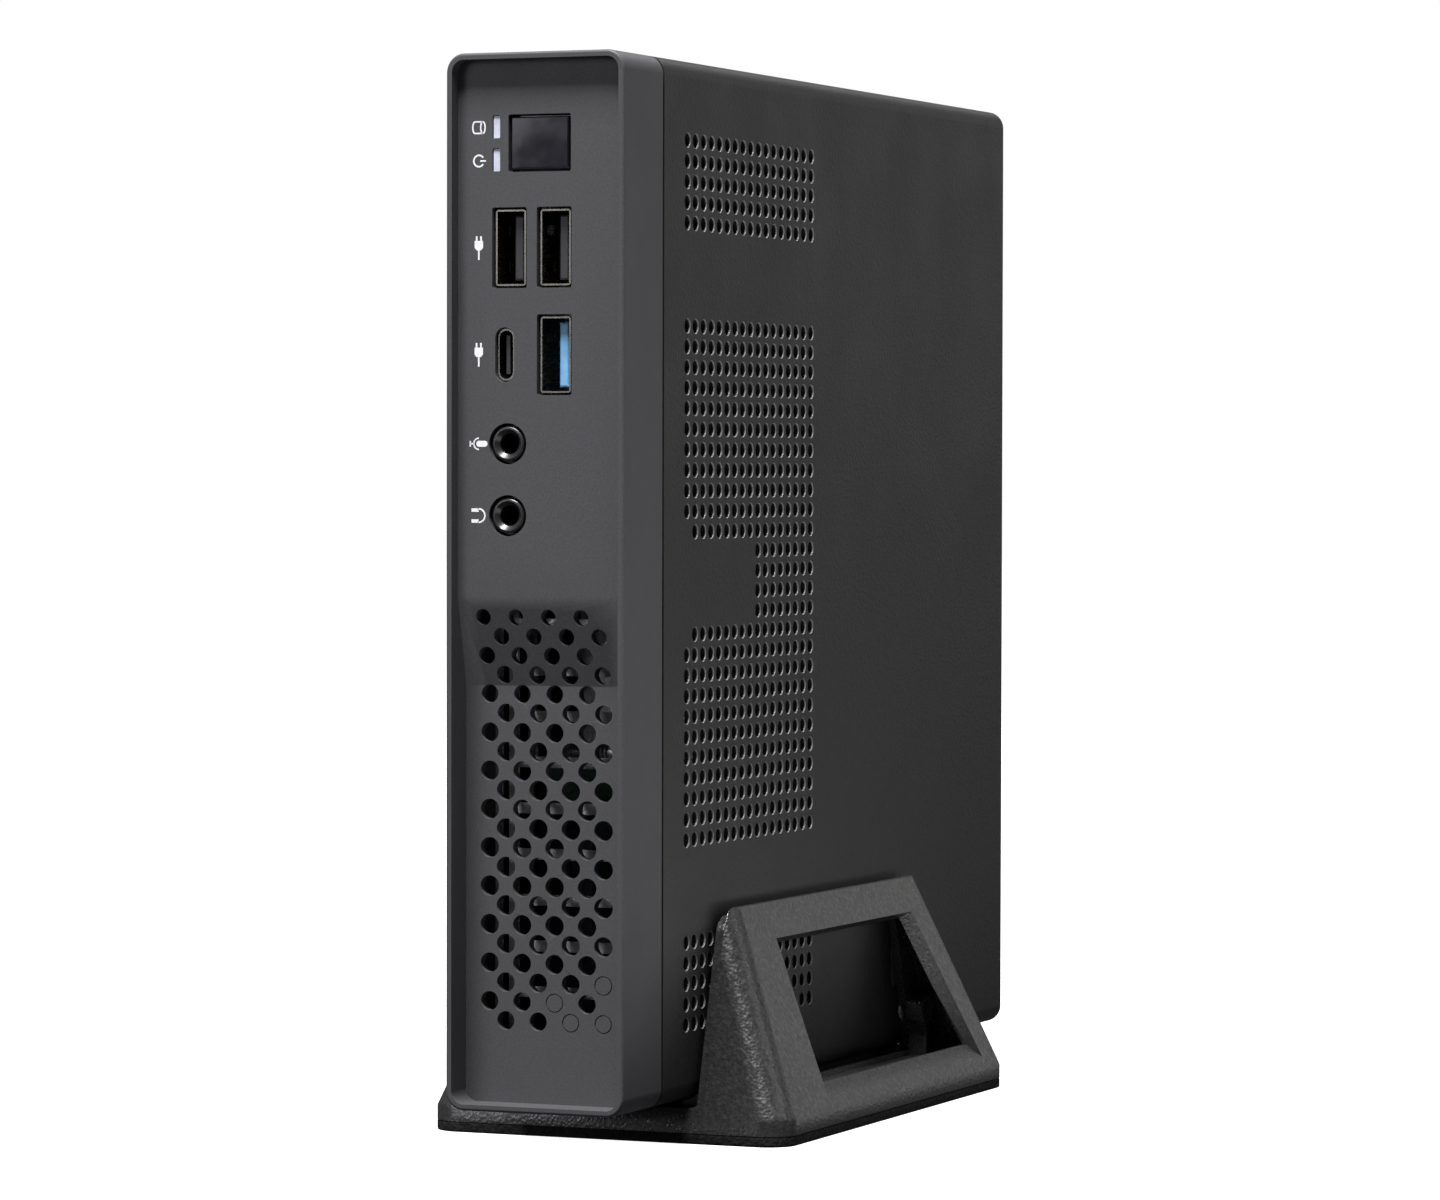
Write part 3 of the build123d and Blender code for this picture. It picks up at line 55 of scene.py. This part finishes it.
# ---- places read from the frame ------------------------------------------------
front_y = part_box("front_bezel")[0].y
panel_y = front_y + 2.5 * MM      # the panel with the sockets lies behind the bezel's rim
cover_face_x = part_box("side_cover")[1].x
case_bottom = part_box("chassis_tray")[0].z
stand_rear_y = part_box("stand_cradle")[1].y

# ---- camera and lights -----------------------------------------------------------
camera_place = Vector((0.41155, front_y - 0.89189, 0.11926))
camera_yaw, camera_pitch, camera_roll = (math.radians(turn) for turn in (22.908, 1.3485, 0.1086))
camera_lens = 143.05
sky_strength = 0.10               # what the surroundings add to the light, though they look white
floor_radius = 6.0
lights_target = (0, 0, 0.1)       # middle of the object
fill_size = 0.75
fill_edge_middle = Vector((-0.886, -1.98, 0.306))     # middle of the edge that the button's face mirrors

# ---- edges of the softened copies ------------------------------------------------
bevel_segments = 2
bevel_from_angle = 28.0
smooth_below_angle = 40.0

# ---- printed signs ---------------------------------------------------------------
sign_column_x = -11.7
print_height = 0.02 * MM
print_depth = 0.01 * MM           # how far the print reaches into the panel

# ---- rims of the vent holes ------------------------------------------------------
vent_pitch = 3.6 * MM
vent_r = 1.35 * MM
vent_y0 = front_y + 27.45 * MM
vent_z0 = 176.0 * MM
rim_steps = 20
# distance behind the cover's face and distance inside the hole's wall, in millimetres
rim_profile = [(0.0, 0.0), (0.03, 0.05), (0.12, 0.09), (0.24, 0.10), (0.96, 0.10)]
rim_lit_rings = 3                 # rings with thin paint; the rings behind them are painted black as shade inside the hole

# ---- strip under the back of the case --------------------------------------------
strip_size = Vector((34.0, 4.4, 3.4)) * MM
strip_behind = 6.0 * MM           # from the stand's rear to the middle of the strip
strip_gap = 0.01 * MM


# ---- camera ----------------------------------------------------------------------
def make_camera():
    """Long lens to the right of the front, slightly above the middle of the object."""
    ahead = Vector((-math.sin(camera_yaw), math.cos(camera_yaw), 0))
    level_right = Vector((math.cos(camera_yaw), math.sin(camera_yaw), 0))
    forward = ahead * math.cos(camera_pitch) - Vector((0, 0, math.sin(camera_pitch)))
    level_up = level_right.cross(forward)
    right = level_right * math.cos(camera_roll) + level_up * math.sin(camera_roll)
    up = level_up * math.cos(camera_roll) - level_right * math.sin(camera_roll)
    data = bpy.data.cameras.new("camera")
    data.lens = camera_lens
    data.sensor_width = 36.0
    data.sensor_fit = "HORIZONTAL"
    data.clip_start = 0.05
    data.clip_end = 50.0
    camera = bpy.data.objects.new("camera", data)
    turn = Matrix((right, up, -forward)).transposed()
    camera.matrix_world = Matrix.Translation(camera_place) @ turn.to_4x4()
    bpy.context.scene.collection.objects.link(camera)
    bpy.context.scene.camera = camera


# ---- studio ----------------------------------------------------------------------
def softbox(name, place, target, size, power, tint=plain_white):
    """Rectangular soft light at a place, aimed at a target."""
    data = bpy.data.lights.new(name, "AREA")
    data.shape = "RECTANGLE"
    data.size, data.size_y = size
    data.energy = power
    data.color = tint
    light = bpy.data.objects.new(name, data)
    direction = Vector(target) - Vector(place)
    light.location = place
    light.rotation_mode = "QUATERNION"
    light.rotation_quaternion = direction.to_track_quat("-Z", "Y")
    bpy.context.scene.collection.objects.link(light)
    return light


def make_world():
    """White surroundings for the camera and a dim sky for everything else."""
    world = bpy.data.worlds.new("studio")
    bpy.context.scene.world = world
    world.use_nodes = True
    tree = world.node_tree
    tree.nodes.clear()
    output = tree.nodes.new("ShaderNodeOutputWorld")
    mix = tree.nodes.new("ShaderNodeMixShader")
    path = tree.nodes.new("ShaderNodeLightPath")
    seen = tree.nodes.new("ShaderNodeBackground")
    lit = tree.nodes.new("ShaderNodeBackground")
    seen.inputs["Color"].default_value = (*plain_white, 1)
    seen.inputs["Strength"].default_value = 1.0
    lit.inputs["Color"].default_value = (0.93, 0.95, 1.0, 1)
    lit.inputs["Strength"].default_value = sky_strength
    tree.links.new(path.outputs["Is Camera Ray"], mix.inputs["Fac"])
    tree.links.new(lit.outputs[0], mix.inputs[1])
    tree.links.new(seen.outputs[0], mix.inputs[2])
    tree.links.new(mix.outputs[0], output.inputs["Surface"])


def make_floor():
    """White floor that hardly lights the object from below."""
    floor = new_object("floor", make_disc(floor_radius, 96))
    floor.data.materials.append(floor_material())
    floor.visible_diffuse = False
    floor.visible_glossy = False


def hazy_fill():
    """Soft box turned on its corner; its lower right edge crosses what the button's face mirrors."""
    light = softbox("fill_light", (-1.04, -1.76, 0.55), lights_target, (fill_size, fill_size), 7.0,
                    (0.95, 0.94, 1.0))
    turn = light.rotation_quaternion @ Quaternion((0, 0, 1), math.radians(-45))
    light.rotation_quaternion = turn
    light.location = fill_edge_middle - turn @ Vector((fill_size / 2, 0, 0))


def make_studio():
    """High key light from the front, weaker lights around it, and a card that brightens from below."""
    bpy.context.scene.view_settings.view_transform = "Standard"
    make_world()
    make_floor()
    softbox("key_light", (0.0, -0.88, 2.3), lights_target, (0.9, 0.7), 165.0)
    hazy_fill()
    softbox("back_light", (0.5, 1.3, 1.7), lights_target, (1.0, 0.6), 14.0)
    softbox("side_light", (2.1, 0.15, 1.2), lights_target, (0.7, 1.0), 3.5)
    softbox("low_back_light", (0.85, 1.75, 0.42), lights_target, (1.0, 0.6), 1.0, (1.0, 0.99, 0.95))
    card = softbox("bounce_card", (0.24, -0.02, 0.01), (0.24, -0.02, 1.0), (0.3, 0.4), 0.7)
    card.visible_camera = False


def make_disc(radius, steps):
    """Flat round mesh."""
    mesh = bpy.data.meshes.new("disc")
    rim = [(radius * math.cos(angle), radius * math.sin(angle), 0) for angle in turn_steps(steps)]
    mesh.from_pydata(rim, [], [list(range(steps))])
    return mesh


def new_object(name, mesh):
    """Object with a mesh, linked to the scene."""
    piece = bpy.data.objects.new(name, mesh)
    bpy.context.scene.collection.objects.link(piece)
    return piece


# ---- material tools --------------------------------------------------------------
class Shader:
    """Principled material with helpers that add procedural detail in millimetres."""

    def __init__(self, name, color, roughness, metallic=0.0, specular=0.5):
        self.material = bpy.data.materials.new(name)
        self.material.use_nodes = True
        self.tree = self.material.node_tree
        self.surface = self.tree.nodes["Principled BSDF"]
        self.surface.inputs["Base Color"].default_value = (*color, 1)
        self.surface.inputs["Roughness"].default_value = roughness
        self.surface.inputs["Metallic"].default_value = metallic
        self.surface.inputs["Specular IOR Level"].default_value = specular
        self.color = color
        self.roughness = roughness
        self.place = self.tree.nodes.new("ShaderNodeTexCoord").outputs["Object"]
        self.normal = None

    def noise(self, size_mm, detail=2.0, rough=0.5, stretch=(1, 1, 1)):
        """Noise whose lumps are about size_mm across."""
        mapping = self.tree.nodes.new("ShaderNodeMapping")
        mapping.inputs["Scale"].default_value = [1000.0 / size_mm / s for s in stretch]
        node = self.tree.nodes.new("ShaderNodeTexNoise")
        node.inputs["Scale"].default_value = 1.0
        node.inputs["Detail"].default_value = detail
        node.inputs["Roughness"].default_value = rough
        self.tree.links.new(self.place, mapping.inputs["Vector"])
        self.tree.links.new(mapping.outputs["Vector"], node.inputs["Vector"])
        return node.outputs["Fac"]

    def cells(self, size_mm):
        """Voronoi cells about size_mm across."""
        node = self.tree.nodes.new("ShaderNodeTexVoronoi")
        node.inputs["Scale"].default_value = 1000.0 / size_mm
        self.tree.links.new(self.place, node.inputs["Vector"])
        return node.outputs["Distance"]

    def ramp(self, value, low, high, low_at=0.3, high_at=0.7):
        """Maps a texture value to a range of numbers."""
        node = self.tree.nodes.new("ShaderNodeMapRange")
        node.inputs["From Min"].default_value = low_at
        node.inputs["From Max"].default_value = high_at
        node.inputs["To Min"].default_value = low
        node.inputs["To Max"].default_value = high
        self.tree.links.new(value, node.inputs["Value"])
        return node.outputs["Result"]

    def vary_color(self, value, dark, light, low_at=0.3, high_at=0.7):
        """Base colour between two shades by a texture value."""
        share = self.ramp(value, 0.0, 1.0, low_at, high_at)
        mix = self.tree.nodes.new("ShaderNodeMix")
        mix.data_type = "RGBA"
        mix.inputs["A"].default_value = (*dark, 1)
        mix.inputs["B"].default_value = (*light, 1)
        self.tree.links.new(share, mix.inputs["Factor"])
        self.tree.links.new(mix.outputs["Result"], self.surface.inputs["Base Color"])
        return self

    def tint(self, value, share):
        """Base colour lighter and darker by a share of itself."""
        dark = [c * (1 - share) for c in self.color]
        light = [c * (1 + share) for c in self.color]
        return self.vary_color(value, dark, light)

    def vary_roughness(self, value, spread):
        """Roughness up and down by a spread."""
        rough = self.ramp(value, self.roughness - spread, self.roughness + spread)
        self.tree.links.new(rough, self.surface.inputs["Roughness"])
        return self

    def bump(self, height, depth_mm):
        """Surface relief of a depth, on top of earlier relief."""
        node = self.tree.nodes.new("ShaderNodeBump")
        node.inputs["Strength"].default_value = 1.0
        node.inputs["Distance"].default_value = depth_mm * MM
        self.tree.links.new(height, node.inputs["Height"])
        if self.normal is not None:
            self.tree.links.new(self.normal, node.inputs["Normal"])
        self.normal = node.outputs["Normal"]
        self.tree.links.new(self.normal, self.surface.inputs["Normal"])
        return self


def floor_material():
    """White paper, lit so strongly that it has no shadow."""
    shader = Shader("studio_floor", (0.5, 0.5, 0.5), 0.9, specular=0.0)
    shader.surface.inputs["Emission Color"].default_value = (*plain_white, 1)
    shader.surface.inputs["Emission Strength"].default_value = 1.0
    return shader.material


def bezel_material():
    """Charcoal plastic with a fine spark-eroded grain."""
    shader = Shader("bezel_plastic", (0.050, 0.050, 0.054), 0.52, specular=0.45)
    fine = shader.noise(0.22, 3.0, 0.6)
    shader.tint(shader.noise(0.35, 2.0), 0.16)
    shader.vary_roughness(shader.noise(14.0), 0.05)
    return shader.bump(fine, 0.014).material


def steel_material():
    """Black powder coat with a leather-like grain over steel."""
    shader = Shader("powder_coat", (0.014, 0.014, 0.0143), 0.46, specular=0.38)
    shader.tint(shader.noise(0.5, 2.0), 0.25)
    shader.vary_roughness(shader.noise(22.0), 0.04)
    shader.bump(shader.cells(0.62), 0.030)
    return shader.bump(shader.noise(0.3, 3.0, 0.6), 0.016).material


def stand_material():
    """Black plastic with a coarse grain, glossier on its peaks."""
    shader = Shader("stand_plastic", (0.022, 0.022, 0.0225), 0.32, specular=0.8)
    shader.tint(shader.noise(0.7, 2.0), 0.22)
    shader.vary_roughness(shader.noise(0.9, 2.0), 0.10)
    shader.bump(shader.cells(0.6), 0.055)
    return shader.bump(shader.noise(0.35, 3.0, 0.6), 0.02).material


def foam_material():
    """Rough black foam rubber with open pores."""
    shader = Shader("foam_rubber", (0.012, 0.012, 0.012), 0.95, specular=0.15)
    shader.tint(shader.noise(0.8, 3.0), 0.5)
    shader.bump(shader.cells(0.5), 0.12)
    return shader.bump(shader.noise(1.4, 3.0), 0.15).material


def rubber_material():
    """Dull black rubber."""
    shader = Shader("rubber", (0.018, 0.018, 0.018), 0.8, specular=0.3)
    shader.tint(shader.noise(2.0, 3.0), 0.3)
    return shader.bump(shader.noise(0.4, 2.0), 0.02).material


def gloss_material(name, color, roughness):
    """Polished moulding with the faint waviness of moulded gloss."""
    shader = Shader(name, color, roughness, specular=0.6)
    shader.tint(shader.noise(3.0), 0.15)
    shader.vary_roughness(shader.noise(4.0, 3.0), roughness * 0.3)
    return shader.bump(shader.noise(4.0, 1.0), 0.001).material


def plastic_material(name, color, roughness, grain=0.3):
    """Moulded plastic with a light grain."""
    shader = Shader(name, color, roughness, specular=0.45)
    shader.tint(shader.noise(grain * 4, 2.0), 0.12)
    shader.vary_roughness(shader.noise(5.0), 0.06)
    return shader.bump(shader.noise(grain, 2.0, 0.6), 0.006).material


def metal_material(name, color, roughness, scratch=(1, 1, 1)):
    """Metal with fine marks, stretched along the rolling direction."""
    shader = Shader(name, color, roughness, metallic=1.0)
    marks = shader.noise(0.5, 3.0, 0.6, scratch)
    shader.tint(shader.noise(3.0, 2.0), 0.10)
    shader.vary_roughness(marks, roughness * 0.35)
    return shader.bump(marks, 0.004).material


def galvanised_material():
    """Bare zinc-coated steel with its spangle."""
    shader = Shader("galvanised", (0.70, 0.70, 0.69), 0.40, metallic=0.45)
    shader.tint(shader.cells(5.0), 0.18)
    shader.vary_roughness(shader.noise(3.0, 3.0), 0.1)
    return shader.bump(shader.noise(0.7, 3.0, 0.6), 0.10).material


def board_material():
    """Green solder mask over copper tracks."""
    shader = Shader("circuit_board", (0.006, 0.03, 0.015), 0.35, specular=0.5)
    wave = shader.tree.nodes.new("ShaderNodeTexWave")
    wave.wave_type = "BANDS"
    wave.bands_direction = "Z"
    wave.inputs["Scale"].default_value = 160.0
    wave.inputs["Distortion"].default_value = 9.0
    wave.inputs["Detail"].default_value = 2.0
    shader.tree.links.new(shader.place, wave.inputs["Vector"])
    shader.vary_color(wave.outputs["Fac"], (0.005, 0.022, 0.012), (0.010, 0.045, 0.023), 0.45, 0.6)
    return shader.bump(wave.outputs["Fac"], 0.02).material


def lens_material():
    """Frosted lens, faintly violet."""
    shader = Shader("frosted_lens", (0.52, 0.53, 0.64), 0.35, specular=0.5)
    shader.tint(shader.noise(1.2), 0.08)
    shader.surface.inputs["Subsurface Weight"].default_value = 0.3
    shader.surface.inputs["Subsurface Scale"].default_value = 0.5 * MM
    return shader.bump(shader.noise(0.3), 0.004).material


def print_material():
    """White screen print."""
    shader = Shader("white_print", (0.74, 0.74, 0.76), 0.6, specular=0.3)
    shader.tint(shader.noise(0.25, 2.0), 0.10)
    return shader.bump(shader.noise(0.2, 2.0), 0.003).material


def make_materials():
    """Every material by the record's slot, with a few more for single pieces."""
    return {
        "stand_plastic": stand_material(),
        "black_rubber": rubber_material(),
        "foam": foam_material(),
        "coated_steel": steel_material(),
        "bezel_plastic": bezel_material(),
        "button_gloss": gloss_material("button_gloss", (0.006, 0.006, 0.010), 0.07),
        "black_gloss": gloss_material("jack_gloss", (0.012, 0.012, 0.013), 0.34),
        "black_plastic": plastic_material("black_plastic", (0.022, 0.022, 0.024), 0.42),
        "blue_plastic": plastic_material("blue_plastic", (0.15, 0.36, 0.60), 0.35),
        "lens": lens_material(),
        "nickel": metal_material("nickel", (0.19, 0.18, 0.16), 0.26, (1, 8, 1)),
        "gold": metal_material("gold_flash", (0.86, 0.74, 0.50), 0.42),
        "galvanised": galvanised_material(),
        "zinc_steel": metal_material("zinc_steel", (0.56, 0.57, 0.58), 0.34),
        "copper": metal_material("copper", (0.74, 0.38, 0.24), 0.32, (1, 1, 6)),
        "bare_aluminium": metal_material("bare_aluminium", (0.70, 0.71, 0.72), 0.36, (1, 1, 8)),
        "board_green": board_material(),
        "chip": plastic_material("chip_resin", (0.02, 0.02, 0.021), 0.55, 0.2),
        "ribbon": plastic_material("flat_cable", (0.62, 0.62, 0.58), 0.5, 0.5),
        "print": print_material(),
        "rim": plastic_material("thin_paint", (0.22, 0.22, 0.23), 0.30, 0.25),
        # near-black painted shade for the walls deep inside the vent holes
        "hole": plastic_material("painted_shade_hole_wall", (0.006, 0.006, 0.006), 0.6, 0.25),
    }


# ---- mesh tools ------------------------------------------------------------------
def shade_by_angle(mesh, degrees):
    """Smooth faces with sharp edges where they turn by more than an angle."""
    bm = bmesh.new()
    bm.from_mesh(mesh)
    limit = math.radians(degrees)
    for face in bm.faces:
        face.smooth = True
    for edge in bm.edges:
        if len(edge.link_faces) == 2:
            edge.smooth = edge.calc_face_angle(0.0) < limit
    bm.to_mesh(mesh)
    bm.free()


def cad_copy(node):
    """Bare mesh copy of a CAD node with its seams joined and flat faces merged."""
    source = nodes[node].data
    mesh = bpy.data.meshes.new(node + "_looks")
    bm = bmesh.new()
    bm.from_mesh(source)
    bmesh.ops.remove_doubles(bm, verts=bm.verts, dist=2e-6)
    bmesh.ops.dissolve_limit(bm, angle_limit=math.radians(0.4), verts=bm.verts, edges=bm.edges)
    bm.to_mesh(mesh)
    bm.free()
    return mesh


def softened(node, width_mm, material, body):
    """Copy of a CAD node with its sharp edges rounded, standing for the node."""
    piece = new_object(node + "_soft", cad_copy(node))
    bpy.context.view_layer.objects.active = piece
    bevel = piece.modifiers.new("edges", "BEVEL")
    bevel.width = width_mm * MM
    bevel.segments = bevel_segments
    bevel.limit_method = "ANGLE"
    bevel.angle_limit = math.radians(bevel_from_angle)
    bevel.use_clamp_overlap = True
    apply_modifiers(piece)
    shade_by_angle(piece.data, smooth_below_angle)
    weighted = piece.modifiers.new("normals", "WEIGHTED_NORMAL")
    weighted.weight = 100
    weighted.keep_sharp = True
    apply_modifiers(piece)
    piece.data.materials.clear()
    piece.data.materials.append(material)
    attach(piece, body)
    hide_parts(node)
    return piece


def apply_modifiers(piece):
    """Bakes the modifiers of a piece into its mesh."""
    graph = bpy.context.evaluated_depsgraph_get()
    mesh = bpy.data.meshes.new_from_object(piece.evaluated_get(graph))
    piece.modifiers.clear()
    piece.data = mesh


# ---- printed signs ---------------------------------------------------------------
def ribbon_loop(points, width, closed=False):
    """Flat strip of a width along 2D points, as (vertices, faces) in the plane."""
    count = len(points)
    left, right = [], []
    for i, (x, z) in enumerate(points):
        before = points[(i - 1) % count] if closed or i > 0 else points[i]
        after = points[(i + 1) % count] if closed or i < count - 1 else points[i]
        direction = Vector((after[0] - before[0], after[1] - before[1]))
        direction.normalize()
        side = Vector((-direction.y, direction.x)) * width / 2
        left.append((x + side.x, z + side.y))
        right.append((x - side.x, z - side.y))
    faces = []
    for i in range(count if closed else count - 1):
        j = (i + 1) % count
        faces.append([i, j, count + j, count + i])
    return left + right, faces


def arc_points(x, z, radius, start, end, steps=18):
    """Points on an arc, in degrees."""
    angles = [math.radians(start + (end - start) * i / steps) for i in range(steps + 1)]
    return [(x + radius * math.cos(angle), z + radius * math.sin(angle)) for angle in angles]


def filled(points):
    """Filled outline."""
    return list(points), [list(range(len(points)))]


def filled_block(x0, x1, z0, z1):
    """Filled rectangle between two x and two z."""
    return filled([(x0, z0), (x1, z0), (x1, z1), (x0, z1)])


def sign_piece(name, parts, x_mm, z_mm, material, upright=False):
    """Thin print on the panel from flat parts in millimetres; their top points to the right or up."""
    bm = bmesh.new()
    for corners, faces in parts:
        if not upright:
            corners = [(z, -x) for x, z in corners]
        made = [bm.verts.new(((x_mm + x) * MM, 0, (z_mm + z) * MM)) for x, z in corners]
        for face in faces:
            bm.faces.new([made[i] for i in face])
    bmesh.ops.recalc_face_normals(bm, faces=bm.faces)
    for face in bm.faces:
        if face.normal.y > 0:
            face.normal_flip()
    for vert in bm.verts:
        vert.co.y = panel_y - print_height
    thick = bmesh.ops.extrude_face_region(bm, geom=list(bm.faces))
    for item in thick["geom"]:
        if isinstance(item, bmesh.types.BMVert):
            item.co.y = panel_y + print_depth
    bmesh.ops.recalc_face_normals(bm, faces=bm.faces)
    mesh = bpy.data.meshes.new(name)
    bm.to_mesh(mesh)
    bm.free()
    mesh.materials.append(material)
    piece = new_object(name, mesh)
    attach(piece, "case")
    return piece


def drive_sign():
    """Drum of a storage drive, drawn upright."""
    half_height, flatness, line = 0.75, 0.42, 0.26
    top = [(math.cos(a), flatness * math.sin(a) + half_height) for a in turn_steps(24)]
    low = [(math.cos(a), flatness * math.sin(a) - half_height) for a in half_turn_steps(14)]
    sides = [ribbon_loop([(x, half_height), (x, -half_height)], line) for x in (-1, 1)]
    return [ribbon_loop(top, line, True), ribbon_loop(low, line)] + sides


def turn_steps(steps):
    """Angles of a whole turn, in radians."""
    return [2 * math.pi * i / steps for i in range(steps)]


def half_turn_steps(steps):
    """Angles of the lower half turn, in radians."""
    return [math.pi + math.pi * i / steps for i in range(steps + 1)]


def power_sign():
    """Open ring with a stroke through the gap."""
    line = 0.28
    ring = ribbon_loop(arc_points(0, 0, 0.98, 125, 415, 30), line)
    return [ring, ribbon_loop([(0, 0.25), (0, 1.35)], line)]


def plug_sign():
    """Simple plug: body with two prongs and a lead."""
    body = filled_block(-0.8, 0.8, 0.1, 1.3)
    prongs = [filled_block(x - 0.16, x + 0.16, 1.3, 2.1) for x in (-0.42, 0.42)]
    neck = filled([(-0.4, -0.35), (0.4, -0.35), (0.8, 0.1), (-0.8, 0.1)])
    lead = ribbon_loop([(0, -0.35), (0, -2.0)], 0.3)
    return [body, neck, lead] + prongs


def microphone_sign():
    """Capsule in a cradle on a stalk."""
    capsule = filled(arc_points(0, 1.15, 0.52, 0, 180, 12) + arc_points(0, 0.05, 0.52, 180, 360, 12))
    cradle = ribbon_loop(arc_points(0, 0.05, 0.98, 180, 360, 16), 0.24)
    stalk = ribbon_loop([(0, -0.93), (0, -1.6)], 0.26)
    foot = ribbon_loop([(-0.5, -1.6), (0.5, -1.6)], 0.24)
    return [capsule, cradle, stalk, foot]


def headphone_sign():
    """Band with two ear pads."""
    band = ribbon_loop(arc_points(0, 0.05, 1.15, -10, 190, 22), 0.28)
    pads = [filled_block(x - 0.3, x + 0.3, -1.35, 0.0) for x in (-0.95, 0.95)]
    return [band] + pads


def make_signs(material):
    """Signs beside the lights and the sockets."""
    sign_piece("sign_drive", drive_sign(), sign_column_x, 177.4, material)
    sign_piece("sign_power", power_sign(), sign_column_x, 171.65, material)
    sign_piece("sign_plug_upper", plug_sign(), sign_column_x, 156.6, material, upright=True)
    sign_piece("sign_plug_lower", plug_sign(), sign_column_x, 138.2, material, upright=True)
    sign_piece("sign_microphone", microphone_sign(), sign_column_x, 122.9, material)
    sign_piece("sign_headphones", headphone_sign(), sign_column_x, 110.5, material)


# ---- vent holes ------------------------------------------------------------------
def nearest_on_pitch(value, start):
    """Place of the row or column of vents that is nearest to a value."""
    return start + round((value - start) / vent_pitch) * vent_pitch


def vent_centres():
    """Centres (y, z) of the vent holes, found from their edges in the cover's outer face."""
    found = set()
    for vert in nodes["side_cover"].data.vertices:
        if vert.co.x < cover_face_x - 0.01 * MM:
            continue
        y = nearest_on_pitch(vert.co.y, vent_y0)
        z = nearest_on_pitch(vert.co.z, vent_z0)
        if abs(math.hypot(vert.co.y - y, vert.co.z - z) - vent_r) < 0.02 * MM:
            found.add((y, z))
    return sorted(found)


def rim_rings(y, z):
    """Points of the rings of one rim, from the cover's face inwards."""
    points = []
    for depth, inset in rim_profile:
        x = cover_face_x - depth * MM
        radius = vent_r - inset * MM
        points += [(x, y + radius * math.cos(angle), z + radius * math.sin(angle))
                   for angle in turn_steps(rim_steps)]
    return points


def vent_rims(lip, shade_wall):
    """Rolled rims of the vent holes, where the paint is thin, and painted shade on the walls behind
    them.
    """
    vertices = []
    faces = []
    rings = len(rim_profile) - 1
    for y, z in vent_centres():
        first = len(vertices)
        vertices += rim_rings(y, z)
        for ring in range(rings):
            outer = first + ring * rim_steps
            inner = outer + rim_steps
            for i in range(rim_steps):
                j = (i + 1) % rim_steps
                faces.append((outer + i, inner + i, inner + j, outer + j))
    mesh = bpy.data.meshes.new("vent_rims")
    mesh.from_pydata(vertices, [], faces)
    mesh.materials.append(lip)
    mesh.materials.append(shade_wall)
    for face in mesh.polygons:
        # rings behind the lit ones get the black painted shade
        if face.index // rim_steps % rings >= rim_lit_rings:
            face.material_index = 1
    shade_by_angle(mesh, 60.0)
    rims = new_object("vent_rims", mesh)
    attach(rims, "cover")


# ---- rear strip ------------------------------------------------------------------
def rear_strip(material):
    """Soft strip across the back of the cradle that closes the gap below the case."""
    bm = bmesh.new()
    bmesh.ops.create_cube(bm, size=1.0)
    mesh = bpy.data.meshes.new("rear_strip")
    bm.to_mesh(mesh)
    bm.free()
    top = case_bottom - strip_gap
    centre = Vector((0, stand_rear_y - strip_behind, top - strip_size.z / 2))
    mesh.transform(Matrix.LocRotScale(centre, None, strip_size))
    mesh.materials.append(material)
    strip = new_object("rear_strip", mesh)
    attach(strip, "stand")


# ---- the object ------------------------------------------------------------------
def paint_cad_nodes(materials):
    """Gives every CAD node the material of its slot."""
    slots = {row["node"]: row["material_slot"] for row in frame["record"]["subparts"]}
    for name, piece in nodes.items():
        for index in range(len(piece.material_slots)):
            piece.material_slots[index].material = materials[slots[name]]


make_camera()
make_studio()
materials = make_materials()
paint_cad_nodes(materials)
make_signs(materials["print"])
vent_rims(materials["rim"], materials["hole"])
rear_strip(materials["black_rubber"])
for node, edge_mm, material_name, body in (
        ("stand_wing_right", 0.45, "stand_plastic", "stand"),
        ("stand_wing_left", 0.45, "stand_plastic", "stand"),
        ("stand_cradle", 0.3, "stand_plastic", "stand"),
        ("stand_foam_pad", 0.35, "foam", "stand"),
        ("power_button", 0.2, "button_gloss", "power_button"),
        ("front_usb_shells", 0.12, "nickel", "case"),
        ("front_usbc_shell", 0.12, "nickel", "case"),
        ("front_bezel", 0.13, "bezel_plastic", "case")):
    softened(node, edge_mm, materials[material_name], body)
